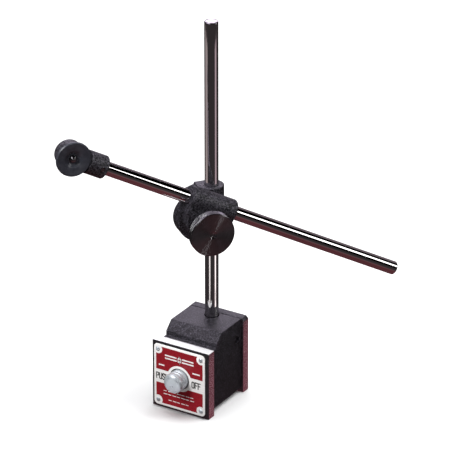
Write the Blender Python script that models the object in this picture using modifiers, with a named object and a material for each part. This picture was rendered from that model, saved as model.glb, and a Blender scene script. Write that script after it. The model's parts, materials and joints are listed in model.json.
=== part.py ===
"""Magnetic-base indicator holder: switchable magnet base, post, swivel clamp, cross rod and snug.

All sizes are metres, +Z is up, and the origin lies on the bench under the middle of the
whole stand. The base faces -Y with its OFF button.
"""
import math

import bmesh
import bpy
from mathutils import Matrix, Vector

# ---------------------------------------------------------------- driving dimensions
GAP = 0.0003                      # clearance between pieces that touch or slide

# Where the base stands, so that the whole stand is centred over the origin.
STAND_X = -0.0171
STAND_Y = -0.0076

# Magnetic base, measured from the middle of its own footprint.
BASE_WIDTH = 0.0446
BASE_DEPTH = 0.0532
BASE_HEIGHT = 0.057
FRONT_PLATE_HEIGHT = 0.0495
FRONT_PLATE_THICKNESS = 0.0074
REAR_PLATE_THICKNESS = 0.0066
PLATE_EDGE = 0.0006               # ground edge break on the pole plates
REAR_PLATE_CORNER = 0.0018        # broken top corners of the rear plate

HOUSING_WIDTH = 0.0410
HOUSING_CLEARANCE = 0.0032        # housing is held clear of the bench by the pole plates
HOUSING_LEDGE = 0.0479            # ledge behind the front plate
HOUSING_STEP_Y = -0.0122          # upper front wall stands back from the front plate
CHAMFER_START_Y = -0.0055
CHAMFER_END_Z = 0.0509
CAVITY_HALF_WIDTH = 0.0140
CAVITY_WALL = 0.0042              # front and rear walls of the magnet chamber
CAVITY_TOP = 0.0378
COVER_THICKNESS = 0.0022

BUTTON_Z = 0.0258                 # height of the push rod above the bench
BUTTON_TRAVEL = 0.0050
BUTTON_HEAD_RADIUS = 0.0071
BUTTON_HEAD_LENGTH = 0.0052
BUTTON_SHANK_RADIUS = 0.0052
BUTTON_SHANK_LENGTH = 0.0078
BUTTON_NECK_RADIUS = 0.0044
BUTTON_REST_GAP = 0.0006          # a pressed button stops this far off its label
PUSH_ROD_RADIUS = 0.0030
ROD_IN_BUTTON = 0.0059            # how far the rod reaches into each button
KEEPER_THICKNESS = 0.0038         # steel plates that clamp the magnets together
MAGNET_CLEARANCE = 0.0008         # free space round the magnets inside their chamber
BUSH_RADIUS = 0.0050

LABEL_WIDTH = 0.0408
LABEL_HEIGHT = 0.0465
LABEL_MID_Z = 0.0252
LABEL_THICKNESS = 0.0006
LABEL_CORNER = 0.0028
LABEL_SCREW_X = 0.0172
LABEL_SCREW_RISE = 0.0195
LABEL_SCREW_RADIUS = 0.0008

TIE_BOLT_X = 0.0172
TIE_BOLT_HEIGHTS = (0.0120, 0.0320)
TIE_BOLT_RADIUS = 0.0019
TIE_BOLT_HEAD_RADIUS = 0.0032
TIE_BOLT_HEAD_LENGTH = 0.0020
TIE_BOLT_ENGAGEMENT = 0.0048      # how far the bolts reach into the front plate

# Post.
POST_Y = 0.0146                   # post axis, behind the middle of the base
ROD_RADIUS = 0.0047625            # 3/8 inch bar for the post and the cross rod
POST_TOP = 0.2740
SPIGOT_RADIUS = 0.0040
SPIGOT_BOTTOM = 0.0400
SET_SCREW_Z = 0.0428
SET_SCREW_RADIUS = 0.0023
SET_SCREW_LENGTH = 0.0090

# Swivel clamp: two equal castings on one stud.
STUD_HEIGHT = 0.1373
STUD_HEADING = math.radians(52.0)     # the stud points this far round from -Y towards +X
ARM_DROP = math.radians(27.5)         # the cross rod falls this much towards its far end
BORE_OFFSET = 0.0136                  # stud axis to the bore of either casting
MATING_FACE = 0.0087                  # bore axis to the flange face of a casting
BARREL_RADIUS = 0.00845
BARREL_LENGTH = 0.0346
FLANGE_RADIUS = 0.0150
FLANGE_THICKNESS = 0.0060
BOSS_OUTER_FACE = 0.0084
BOSS_ROOT_RADIUS = 0.0108
BOSS_TIP_RADIUS = 0.0091
TAPER_RATIO = 0.75                    # the web narrows to three quarters at the stud
STUD_RADIUS = 0.0030
STUD_HEAD_RADIUS = 0.0060
STUD_HEAD_LENGTH = 0.0036
PLUG_RADIUS = 0.0025
BORE_CLEARANCE = 0.0002               # bar to bore, in the castings and the snug
KNOB_RADIUS = 0.0152
KNOB_FACE = 0.0405                    # knob face, in front of the post axis
KNOB_RIM_LENGTH = 0.0067

# Cross rod, measured along itself from the clamp.
ROD_NEAR_END = -0.0972
ROD_FAR_END = 0.1528

# Snug on the near end of the rod.
SNUG_EYE_AT = -0.1099
SNUG_LENGTH = 0.0258                  # eye centre to the open end of the sleeve
SNUG_RADIUS = 0.0080
SNUG_EYE_RADIUS = 0.0095
SNUG_EYE_FRONT = 0.0019
SNUG_EYE_REAR = -0.0054
SNUG_BORE_BOTTOM = 0.0124
SNUG_BOLT_RADIUS = 0.0024
SNUG_BOLT_HEAD_RADIUS = 0.0044
SNUG_BOLT_HEAD_LENGTH = 0.0064
SNUG_KNOB_RADIUS = 0.0121
SNUG_KNOB_FACE = 0.0076
SNUG_WASHER_THICKNESS = 0.0006
SNUG_WASHER_BACK = SNUG_EYE_FRONT + GAP
SNUG_KNOB_BACK = SNUG_WASHER_BACK + SNUG_WASHER_THICKNESS + GAP
SNUG_SCREW_AT = 0.0222                # set screw, from the eye centre
SNUG_SCREW_RADIUS = 0.0015
STEM_HOLE_RADIUS = 0.0021             # 5/32 inch indicator stem, with clearance

# Facets round a turned piece.
FINE = 40
MEDIUM = 24
SMALL = 12

OVERCUT = 0.001                   # a cutter reaches this far past the face it opens


# ---------------------------------------------------------------- collections and materials
def clear_scene():
    for obj in list(bpy.data.objects):
        bpy.data.objects.remove(obj, do_unlink=True)


def new_collection(name):
    collection = bpy.data.collections.new(name)
    bpy.context.scene.collection.children.link(collection)
    return collection


def material(name, colour, roughness, metallic):
    mat = bpy.data.materials.new(name)
    mat.use_nodes = True
    shader = mat.node_tree.nodes["Principled BSDF"]
    shader.inputs["Base Color"].default_value = (*colour, 1.0)
    shader.inputs["Roughness"].default_value = roughness
    shader.inputs["Metallic"].default_value = metallic
    return mat


clear_scene()
PARTS = new_collection("indicator_holder")
CUTTERS = new_collection("indicator_holder_cutters")

GROUND_STEEL = material("ground_steel", (0.62, 0.62, 0.63), 0.25, 1.0)
POLISHED_STEEL = material("polished_steel", (0.70, 0.69, 0.69), 0.10, 1.0)
BLACK_CRACKLE = material("black_crackle", (0.035, 0.033, 0.040), 0.55, 0.0)
BLACKED_STEEL = material("blacked_steel", (0.045, 0.045, 0.050), 0.30, 0.6)
ZINC = material("zinc_plate", (0.72, 0.72, 0.73), 0.22, 1.0)
RED_LABEL = material("red_label", (0.55, 0.05, 0.07), 0.40, 0.0)
BRASS = material("brass", (0.72, 0.55, 0.26), 0.35, 1.0)
MAGNET = material("magnet", (0.20, 0.20, 0.21), 0.45, 0.8)
COVER_PLASTIC = material("cover_plastic", (0.05, 0.05, 0.05), 0.60, 0.0)


# ---------------------------------------------------------------- frames
def empty(name, matrix, parent=None):
    """An empty on a joint's axis; its parts are placed in its own coordinates."""
    obj = bpy.data.objects.new(name, None)
    obj.empty_display_size = 0.01
    PARTS.objects.link(obj)
    obj.parent = parent
    obj.matrix_local = matrix
    return obj


def axes_at(origin, x_axis, y_axis, z_axis):
    rotation = Matrix((x_axis, y_axis, z_axis)).transposed().to_4x4()
    return Matrix.Translation(origin) @ rotation


# ---------------------------------------------------------------- shapes
def add_object(name, mesh, mat, parent, matrix=None):
    obj = bpy.data.objects.new(name, mesh)
    PARTS.objects.link(obj)
    obj.parent = parent
    if matrix is not None:
        obj.matrix_local = matrix
    if mat is not None:
        mesh.materials.append(mat)
    return obj


def as_cutter(obj):
    """Move a shape to the cutters' collection, out of the model."""
    PARTS.objects.unlink(obj)
    CUTTERS.objects.link(obj)
    obj.hide_render = True
    obj.display_type = "WIRE"
    return obj


def box_mesh(name, low, high):
    bm = bmesh.new()
    bmesh.ops.create_cube(bm, size=1.0)
    middle = (Vector(low) + Vector(high)) / 2
    size = Vector(high) - Vector(low)
    for vert in bm.verts:
        vert.co = Vector(a * b for a, b in zip(vert.co, size)) + middle
    mesh = bpy.data.meshes.new(name)
    bm.to_mesh(mesh)
    bm.free()
    return mesh


def box(name, low, high, mat, parent, bevel=0.0):
    obj = add_object(name, box_mesh(name, low, high), mat, parent)
    if bevel:
        add_bevel(obj, bevel)
    return obj


def add_bevel(obj, width, segments=1, angle=30.0):
    bevel = obj.modifiers.new("edge_break", "BEVEL")
    bevel.width = width
    bevel.segments = segments
    bevel.limit_method = "ANGLE"
    bevel.angle_limit = math.radians(angle)


def smooth(mesh):
    mesh.shade_smooth()
    mesh.set_sharp_from_angle(angle=math.radians(35.0))


def turned(name, profile, mat, parent, matrix=None, segments=FINE, ring=False):
    """Turn a profile of (radius, height) points about Z; it runs down its outer side."""
    mesh = bpy.data.meshes.new(name)
    verts = [(radius, 0.0, height) for radius, height in profile]
    edges = [(i, i + 1) for i in range(len(verts) - 1)]
    if ring:
        edges.append((len(verts) - 1, 0))
    mesh.from_pydata(verts, edges, [])
    obj = add_object(name, mesh, mat, parent, matrix)
    screw = obj.modifiers.new("turn", "SCREW")
    screw.axis = "Z"
    screw.angle = 2 * math.pi
    screw.steps = segments
    screw.render_steps = segments
    screw.use_merge_vertices = True
    screw.merge_threshold = 0.00001
    screw.use_smooth_shade = True
    return obj


def rod_profile(radius, low, high, chamfer=0.0):
    """A solid round bar from low to high, with both ends chamfered."""
    if not chamfer:
        return [(0.0, high), (radius, high), (radius, low), (0.0, low)]
    return [(0.0, high), (radius - chamfer, high), (radius, high - chamfer),
            (radius, low + chamfer), (radius - chamfer, low), (0.0, low)]


def ring_profile(outer, inner, low, high, chamfer=0.0003):
    return [(outer - chamfer, high), (outer, high - chamfer), (outer, low + chamfer),
            (outer - chamfer, low), (inner, low), (inner, high)]


def drill(name, radius, low, high, parent, matrix=None, segments=MEDIUM):
    """A cylindrical cutter along its own Z from low to high."""
    bm = bmesh.new()
    bmesh.ops.create_cone(bm, cap_ends=True, segments=segments,
                          radius1=radius, radius2=radius, depth=high - low)
    bmesh.ops.translate(bm, verts=bm.verts, vec=(0.0, 0.0, (high + low) / 2))
    mesh = bpy.data.meshes.new(name)
    bm.to_mesh(mesh)
    bm.free()
    return as_cutter(add_object(name, mesh, None, parent, matrix))


def block_cutter(name, low, high, parent, matrix=None):
    return as_cutter(add_object(name, box_mesh(name, low, high), None, parent, matrix))


def combine(obj, other, operation):
    boolean = obj.modifiers.new(f"{operation.lower()}_{other.name}", "BOOLEAN")
    boolean.object = other
    boolean.operation = operation
    boolean.solver = "EXACT"


def cut(obj, *tools):
    for tool in tools:
        combine(obj, tool, "DIFFERENCE")


def join(obj, *others):
    for other in others:
        combine(obj, as_cutter(other), "UNION")


def outline_prism(name, points, depth, mat, parent, matrix=None):
    """Extrude a flat closed outline by depth, half to each side of its own XY plane."""
    curve = bpy.data.curves.new(name, "CURVE")
    curve.dimensions = "2D"
    curve.fill_mode = "BOTH"
    curve.extrude = depth / 2
    spline = curve.splines.new("POLY")
    spline.points.add(len(points) - 1)
    for point, (x, y) in zip(spline.points, points):
        point.co = (x, y, 0.0, 1.0)
    spline.use_cyclic_u = True
    source = bpy.data.objects.new(name, curve)
    PARTS.objects.link(source)
    depsgraph = bpy.context.evaluated_depsgraph_get()
    mesh = bpy.data.meshes.new_from_object(source.evaluated_get(depsgraph))
    bpy.data.objects.remove(source, do_unlink=True)
    bpy.data.curves.remove(curve)
    bm = bmesh.new()
    bm.from_mesh(mesh)
    bmesh.ops.remove_doubles(bm, verts=bm.verts, dist=0.000001)
    bmesh.ops.recalc_face_normals(bm, faces=bm.faces)
    bm.to_mesh(mesh)
    bm.free()
    return add_object(name, mesh, mat, parent, matrix)


def rounded_rectangle(width, height, corner, steps=5):
    points = []
    for quarter in range(4):
        across = 1 if quarter in (0, 3) else -1
        up = 1 if quarter in (0, 1) else -1
        centre = (across * (width / 2 - corner), up * (height / 2 - corner))
        for step in range(steps + 1):
            angle = math.radians(90.0 * (quarter + step / steps))
            points.append((centre[0] + corner * math.cos(angle),
                           centre[1] + corner * math.sin(angle)))
    return points


# Local Z laid along another direction of the parent.
Z_TO_X = Matrix.Rotation(math.radians(90.0), 4, "Y")
Z_TO_MINUS_Y = Matrix.Rotation(math.radians(90.0), 4, "X")
Z_TO_Y = Matrix.Rotation(math.radians(-90.0), 4, "X")


def at(x, y, z, rotation=None):
    place = Matrix.Translation((x, y, z))
    return place @ rotation if rotation is not None else place


# ---------------------------------------------------------------- magnetic base
FRONT_FACE = -BASE_DEPTH / 2
FRONT_PLATE_BACK = FRONT_FACE + FRONT_PLATE_THICKNESS
REAR_FACE = BASE_DEPTH / 2
REAR_PLATE_FRONT = REAR_FACE - REAR_PLATE_THICKNESS
HOUSING_FRONT = FRONT_PLATE_BACK + GAP
HOUSING_REAR = REAR_PLATE_FRONT - GAP
CAVITY_FRONT = HOUSING_FRONT + CAVITY_WALL
CAVITY_REAR = HOUSING_REAR - CAVITY_WALL
BUTTON_BORE = BUTTON_SHANK_RADIUS + GAP
LABEL_SCREW_DEPTH = 0.0032


def label_screw_places():
    """The four drive screws of a label: x and z of each."""
    return [(side * LABEL_SCREW_X, LABEL_MID_Z + rise * LABEL_SCREW_RISE)
            for rise in (1, -1) for side in (-1, 1)]


def tie_bolt_places():
    return [(side * TIE_BOLT_X, height) for height in TIE_BOLT_HEIGHTS for side in (-1, 1)]


def build_pole_plates(stand):
    half = BASE_WIDTH / 2
    front = box("front_pole_plate", (-half, FRONT_FACE, 0.0),
                (half, FRONT_PLATE_BACK, FRONT_PLATE_HEIGHT), GROUND_STEEL, stand, PLATE_EDGE)
    rear_outline = [(-half, 0.0), (half, 0.0), (half, BASE_HEIGHT - REAR_PLATE_CORNER),
                    (half - REAR_PLATE_CORNER, BASE_HEIGHT),
                    (-half + REAR_PLATE_CORNER, BASE_HEIGHT),
                    (-half, BASE_HEIGHT - REAR_PLATE_CORNER)]
    rear = outline_prism("rear_pole_plate", rear_outline, REAR_PLATE_THICKNESS, GROUND_STEEL,
                         stand, at(0.0, REAR_FACE - REAR_PLATE_THICKNESS / 2, 0.0, Z_TO_MINUS_Y))
    add_bevel(rear, PLATE_EDGE)
    for plate, tag, outer, inward in ((front, "front", FRONT_FACE, Z_TO_Y),
                                      (rear, "rear", REAR_FACE, Z_TO_MINUS_Y)):
        cut(plate, drill(f"{tag}_button_bore", BUTTON_BORE, -OVERCUT, 0.010, stand,
                         at(0.0, outer, BUTTON_Z, inward)))
        for index, (x, z) in enumerate(label_screw_places(), 1):
            cut(plate, drill(f"{tag}_label_hole_{index}", LABEL_SCREW_RADIUS + GAP, -OVERCUT,
                             LABEL_SCREW_DEPTH, stand, at(x, outer, z, inward), SMALL))
    for index, (x, z) in enumerate(tie_bolt_places(), 1):
        cut(front, drill(f"front_tie_hole_{index}", TIE_BOLT_RADIUS + GAP, -OVERCUT,
                         TIE_BOLT_ENGAGEMENT + 0.0005, stand,
                         at(x, FRONT_PLATE_BACK, z, Z_TO_MINUS_Y), SMALL))
        cut(rear,
            drill(f"rear_tie_hole_{index}", TIE_BOLT_RADIUS + GAP, -OVERCUT,
                  REAR_PLATE_THICKNESS + OVERCUT, stand, at(x, REAR_FACE, z, Z_TO_MINUS_Y), SMALL),
            drill(f"rear_tie_seat_{index}", TIE_BOLT_HEAD_RADIUS + 0.0004, -OVERCUT,
                  TIE_BOLT_HEAD_LENGTH + 0.0006, stand, at(x, REAR_FACE, z, Z_TO_MINUS_Y),
                  SMALL))


def build_housing(stand):
    side_outline = [(HOUSING_FRONT, HOUSING_CLEARANCE), (HOUSING_REAR, HOUSING_CLEARANCE),
                    (HOUSING_REAR, BASE_HEIGHT), (CHAMFER_START_Y, BASE_HEIGHT),
                    (HOUSING_STEP_Y, CHAMFER_END_Z), (HOUSING_STEP_Y, HOUSING_LEDGE),
                    (HOUSING_FRONT, HOUSING_LEDGE)]
    side_plane = axes_at((0.0, 0.0, 0.0), (0, 1, 0), (0, 0, 1), (1, 0, 0))
    housing = outline_prism("housing", side_outline, HOUSING_WIDTH, BLACK_CRACKLE, stand,
                            side_plane)
    add_bevel(housing, 0.0005)
    cavity = block_cutter("magnet_chamber",
                          (-CAVITY_HALF_WIDTH, CAVITY_FRONT, 0.0),
                          (CAVITY_HALF_WIDTH, CAVITY_REAR, CAVITY_TOP), stand)
    post_hole = drill("post_hole", SPIGOT_RADIUS + GAP, SPIGOT_BOTTOM - GAP,
                      BASE_HEIGHT + OVERCUT, stand, at(0.0, POST_Y, 0.0))
    screw_hole = drill("set_screw_hole", SET_SCREW_RADIUS + GAP, 0.0,
                       HOUSING_WIDTH / 2 + OVERCUT, stand,
                       at(0.0, POST_Y, SET_SCREW_Z, Z_TO_X), SMALL)
    front_bush_hole = drill("front_bush_hole", BUSH_RADIUS + GAP, -OVERCUT,
                            CAVITY_WALL + OVERCUT, stand,
                            at(0.0, HOUSING_FRONT, BUTTON_Z, Z_TO_Y))
    rear_bush_hole = drill("rear_bush_hole", BUSH_RADIUS + GAP, -OVERCUT,
                           CAVITY_WALL + OVERCUT, stand,
                           at(0.0, HOUSING_REAR, BUTTON_Z, Z_TO_MINUS_Y))
    cut(housing, cavity, post_hole, screw_hole, front_bush_hole, rear_bush_hole)
    for index, (x, z) in enumerate(tie_bolt_places(), 1):
        cut(housing, drill(f"housing_tie_hole_{index}", TIE_BOLT_RADIUS + GAP,
                           HOUSING_FRONT - OVERCUT, HOUSING_REAR + OVERCUT, stand,
                           at(x, 0.0, z, Z_TO_Y), SMALL))


def build_cover(stand):
    half = CAVITY_HALF_WIDTH - GAP
    low = HOUSING_CLEARANCE + 0.0001
    box("bottom_cover", (-half, CAVITY_FRONT + GAP, low),
        (half, CAVITY_REAR - GAP, low + COVER_THICKNESS), COVER_PLASTIC, stand)


def build_base_fasteners(stand):
    tip = FRONT_PLATE_BACK - TIE_BOLT_ENGAGEMENT
    head = REAR_FACE - GAP
    under_head = head - TIE_BOLT_HEAD_LENGTH
    profile = [(0.0, head), (TIE_BOLT_HEAD_RADIUS - 0.0002, head),
               (TIE_BOLT_HEAD_RADIUS, head - 0.0002), (TIE_BOLT_HEAD_RADIUS, under_head),
               (TIE_BOLT_RADIUS, under_head), (TIE_BOLT_RADIUS, tip + 0.0004),
               (TIE_BOLT_RADIUS - 0.0004, tip), (0.0, tip)]
    for index, (x, z) in enumerate(tie_bolt_places(), 1):
        turned(f"tie_bolt_{index}", profile, BLACKED_STEEL, stand,
               at(x, 0.0, z, Z_TO_Y), SMALL)
    screw_tip = SPIGOT_RADIUS + GAP
    turned("post_set_screw",
           rod_profile(SET_SCREW_RADIUS, screw_tip, screw_tip + SET_SCREW_LENGTH, 0.0004),
           BLACKED_STEEL, stand, at(0.0, POST_Y, SET_SCREW_Z, Z_TO_X), SMALL)
    bush = ring_profile(BUSH_RADIUS, PUSH_ROD_RADIUS + 0.0002, 0.0002, CAVITY_WALL - 0.0002)
    for name, face, direction in (("front_bush", HOUSING_FRONT, Z_TO_Y),
                                  ("rear_bush", HOUSING_REAR, Z_TO_MINUS_Y)):
        turned(name, bush, BRASS, stand, at(0.0, face, BUTTON_Z, direction), MEDIUM, ring=True)


def build_label(stand, tag, face, outward):
    """A thin printed plate with a clearance hole for the button, and its drive screws."""
    direction = Z_TO_MINUS_Y if outward < 0 else Z_TO_Y
    middle = face + outward * (GAP + LABEL_THICKNESS / 2)
    plate = outline_prism(f"{tag}_label", rounded_rectangle(LABEL_WIDTH, LABEL_HEIGHT,
                                                            LABEL_CORNER),
                          LABEL_THICKNESS, RED_LABEL, stand,
                          at(0.0, middle, LABEL_MID_Z, direction))
    cut(plate, drill(f"{tag}_label_button_hole", BUTTON_BORE + 0.0003, -0.002, 0.002, stand,
                     at(0.0, middle, BUTTON_Z, direction)))
    surface = GAP + LABEL_THICKNESS + GAP
    tip = GAP - LABEL_SCREW_DEPTH
    screw = [(0.0, surface + 0.0008), (0.0009, surface + 0.0006), (0.0016, surface),
             (LABEL_SCREW_RADIUS, surface), (LABEL_SCREW_RADIUS, tip), (0.0, tip)]
    for index, (x, z) in enumerate(label_screw_places(), 1):
        cut(plate, drill(f"{tag}_label_screw_hole_{index}", LABEL_SCREW_RADIUS + GAP, -0.002,
                         0.002, stand, at(x, middle, z, direction), SMALL))
        turned(f"{tag}_label_screw_{index}", screw, ZINC, stand,
               at(x, face, z, direction), SMALL)


# ---------------------------------------------------------------- push rod and magnets
FRONT_LABEL_FACE = FRONT_FACE - GAP - LABEL_THICKNESS
REAR_LABEL_FACE = REAR_FACE + GAP + LABEL_THICKNESS


def button_profile(inner_end, head_back):
    """Domed head on a grooved shank; heights run outwards from the middle of the base."""
    tip = head_back + BUTTON_HEAD_LENGTH
    edge = tip - 0.0019
    dome = []
    for step in range(6):
        angle = math.radians(90.0 * step / 5)
        dome.append((BUTTON_HEAD_RADIUS * 0.93 * math.sin(angle),
                     edge + (tip - edge) * math.cos(angle)))
    dome[0] = (0.0, tip)
    groove = head_back - 0.0016
    return dome + [(BUTTON_HEAD_RADIUS, edge - 0.0004), (BUTTON_HEAD_RADIUS, head_back + 0.0003),
                   (BUTTON_HEAD_RADIUS - 0.0003, head_back), (BUTTON_NECK_RADIUS, head_back),
                   (BUTTON_NECK_RADIUS, groove), (BUTTON_SHANK_RADIUS, groove),
                   (BUTTON_SHANK_RADIUS, inner_end), (0.0, inner_end)]


def build_push_rod(axis):
    """The rod, its two buttons and the magnets it shifts; axis lies along the rod."""
    off_back = FRONT_LABEL_FACE - BUTTON_REST_GAP - BUTTON_TRAVEL
    on_back = REAR_LABEL_FACE + BUTTON_REST_GAP
    off_inner = -off_back - BUTTON_SHANK_LENGTH
    on_inner = on_back - BUTTON_SHANK_LENGTH
    for name, inner, back, direction in (("off_button", off_inner, -off_back, Z_TO_MINUS_Y),
                                         ("on_button", on_inner, on_back, Z_TO_Y)):
        button = turned(name, button_profile(inner, back), ZINC, axis,
                        at(0.0, 0.0, 0.0, direction), MEDIUM + 8)
        cut(button, drill(f"{name}_bore", PUSH_ROD_RADIUS + GAP, 0.0,
                          inner + ROD_IN_BUTTON + GAP, axis, at(0.0, 0.0, 0.0, direction)))
    turned("push_rod", rod_profile(PUSH_ROD_RADIUS, -off_inner - ROD_IN_BUTTON,
                                   on_inner + ROD_IN_BUTTON, 0.0003),
           GROUND_STEEL, axis, at(0.0, 0.0, 0.0, Z_TO_Y), MEDIUM)
    half = CAVITY_HALF_WIDTH - MAGNET_CLEARANCE
    low = HOUSING_CLEARANCE + COVER_THICKNESS + MAGNET_CLEARANCE - BUTTON_Z
    high = CAVITY_TOP - MAGNET_CLEARANCE - BUTTON_Z
    front = CAVITY_FRONT + MAGNET_CLEARANCE
    magnet_front = front + KEEPER_THICKNESS + GAP
    rear = CAVITY_REAR - BUTTON_TRAVEL - MAGNET_CLEARANCE
    magnet_rear = rear - KEEPER_THICKNESS - GAP
    slot = PUSH_ROD_RADIUS + MAGNET_CLEARANCE
    for name, y in (("front_keeper", front), ("rear_keeper", rear - KEEPER_THICKNESS)):
        back = y + KEEPER_THICKNESS
        plate = box(name, (-half, y, low), (half, back, high), GROUND_STEEL, axis)
        cut(plate, drill(f"{name}_hole", PUSH_ROD_RADIUS + GAP, y - OVERCUT, back + OVERCUT,
                         axis, at(0.0, 0.0, 0.0, Z_TO_Y)))
    for name, side in (("left_magnet", -1), ("right_magnet", 1)):
        inner, outer = sorted((side * slot, side * half))
        box(name, (inner, magnet_front, low), (outer, magnet_rear, high), MAGNET, axis)


# ---------------------------------------------------------------- post
def build_post(axis):
    foot = BASE_HEIGHT + GAP
    profile = [(0.0, POST_TOP), (ROD_RADIUS - 0.0006, POST_TOP),
               (ROD_RADIUS, POST_TOP - 0.0006), (ROD_RADIUS, foot), (SPIGOT_RADIUS, foot),
               (SPIGOT_RADIUS, SPIGOT_BOTTOM + 0.0006), (SPIGOT_RADIUS - 0.0006, SPIGOT_BOTTOM),
               (0.0, SPIGOT_BOTTOM)]
    return turned("post", profile, POLISHED_STEEL, axis)


# ---------------------------------------------------------------- swivel clamp
def build_casting(name, axis):
    """One clamp half. Its stud lies on Z with the flange face up; its bore runs along Y."""
    half = BARREL_LENGTH / 2
    bore_axis = at(BORE_OFFSET, 0.0, 0.0, Z_TO_MINUS_Y)
    body = turned(name, rod_profile(BARREL_RADIUS, -half, half, 0.0007), BLACK_CRACKLE, axis,
                  bore_axis)
    flange_back = MATING_FACE - FLANGE_THICKNESS
    boss = turned(f"{name}_boss",
                  [(0.0, MATING_FACE), (FLANGE_RADIUS - 0.0006, MATING_FACE),
                   (FLANGE_RADIUS, MATING_FACE - 0.0006), (FLANGE_RADIUS, flange_back + 0.0006),
                   (FLANGE_RADIUS - 0.0006, flange_back), (BOSS_ROOT_RADIUS, flange_back),
                   (BOSS_TIP_RADIUS, 0.0006 - BOSS_OUTER_FACE),
                   (BOSS_TIP_RADIUS - 0.0006, -BOSS_OUTER_FACE), (0.0, -BOSS_OUTER_FACE)],
                  None, axis)
    web_half = BARREL_RADIUS - 0.0005
    web = box(f"{name}_web", (0.0046, -half + 0.0009, -web_half),
              (BORE_OFFSET - 0.0010, half - 0.0009, web_half), None, axis, 0.0008)
    taper_mesh = box_mesh(f"{name}_taper", (-0.0041, -half + 0.0016, -web_half + 0.0004),
                          (0.0063, half - 0.0016, web_half - 0.0003))
    for vert in taper_mesh.vertices:
        if vert.co.x < 0.0:
            vert.co.y *= TAPER_RATIO
    taper = add_object(f"{name}_taper", taper_mesh, None, axis)
    join(body, web, taper, boss)
    cut(body,
        drill(f"{name}_plug_hole", PLUG_RADIUS + GAP, 0.0, BORE_OFFSET, axis,
              at(0.0, 0.0, 0.0, Z_TO_X), SMALL + 4),
        drill(f"{name}_bore", ROD_RADIUS + BORE_CLEARANCE, -half - OVERCUT, half + OVERCUT,
              axis, bore_axis, FINE),
        drill(f"{name}_stud_hole", STUD_RADIUS + GAP, -0.012, 0.012, axis))


def build_plug(name, axis):
    """Brass plug that the stud's taper drives against the bar in the bore."""
    turned(name, rod_profile(PLUG_RADIUS, STUD_RADIUS + 0.0005,
                             BORE_OFFSET - ROD_RADIUS - 0.0004, 0.0004), BRASS, axis,
           at(0.0, 0.0, 0.0, Z_TO_X), SMALL)


def build_stud(axis):
    """Headed stud with a tapered waist at each plug; heights run forward from the post."""
    head_face = -BOSS_OUTER_FACE - GAP
    front_plug = 2 * MATING_FACE + GAP
    waist = STUD_RADIUS - 0.0006
    tip = KNOB_FACE - 0.0024
    profile = [(0.0, tip), (STUD_RADIUS - 0.0004, tip), (STUD_RADIUS, tip - 0.0004)]
    for plug in (front_plug, 0.0):
        profile += [(STUD_RADIUS, plug + 0.0030), (waist, plug + 0.0010),
                    (waist, plug - 0.0010), (STUD_RADIUS, plug - 0.0030)]
    head_end = head_face - STUD_HEAD_LENGTH
    profile += [(STUD_RADIUS, head_face), (STUD_HEAD_RADIUS, head_face),
                (STUD_HEAD_RADIUS, head_end + 0.0008), (STUD_HEAD_RADIUS - 0.0008, head_end),
                (0.0, head_end)]
    turned("clamp_stud", profile, BLACKED_STEEL, axis, segments=MEDIUM)


def build_clamp_knob(axis):
    hub_back = 2 * MATING_FACE + GAP + BOSS_OUTER_FACE + 0.0016
    rim_back = KNOB_FACE - KNOB_RIM_LENGTH
    profile = [(0.0, KNOB_FACE - 0.0008), (0.0012, KNOB_FACE - 0.0006), (0.0019, KNOB_FACE),
               (KNOB_RADIUS - 0.0007, KNOB_FACE), (KNOB_RADIUS, KNOB_FACE - 0.0007),
               (KNOB_RADIUS, rim_back + 0.0005), (KNOB_RADIUS - 0.0005, rim_back),
               (0.0088, rim_back), (0.0075, rim_back - 0.0012), (0.0075, hub_back),
               (0.0, hub_back)]
    knob = turned("clamp_knob", profile, BLACKED_STEEL, axis)
    cut(knob, drill("clamp_knob_thread", STUD_RADIUS + GAP, hub_back - OVERCUT,
                    KNOB_FACE - 0.0020, axis))
    washer_back = hub_back - 0.0013
    turned("clamp_washer", ring_profile(0.0080, STUD_RADIUS + GAP, washer_back,
                                        washer_back + 0.0010, 0.0002), ZINC, axis,
           segments=MEDIUM, ring=True)


# ---------------------------------------------------------------- cross rod and snug
def build_cross_rod(axis):
    turned("cross_rod", rod_profile(ROD_RADIUS, ROD_NEAR_END, ROD_FAR_END, 0.0006),
           POLISHED_STEEL, axis)


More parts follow.
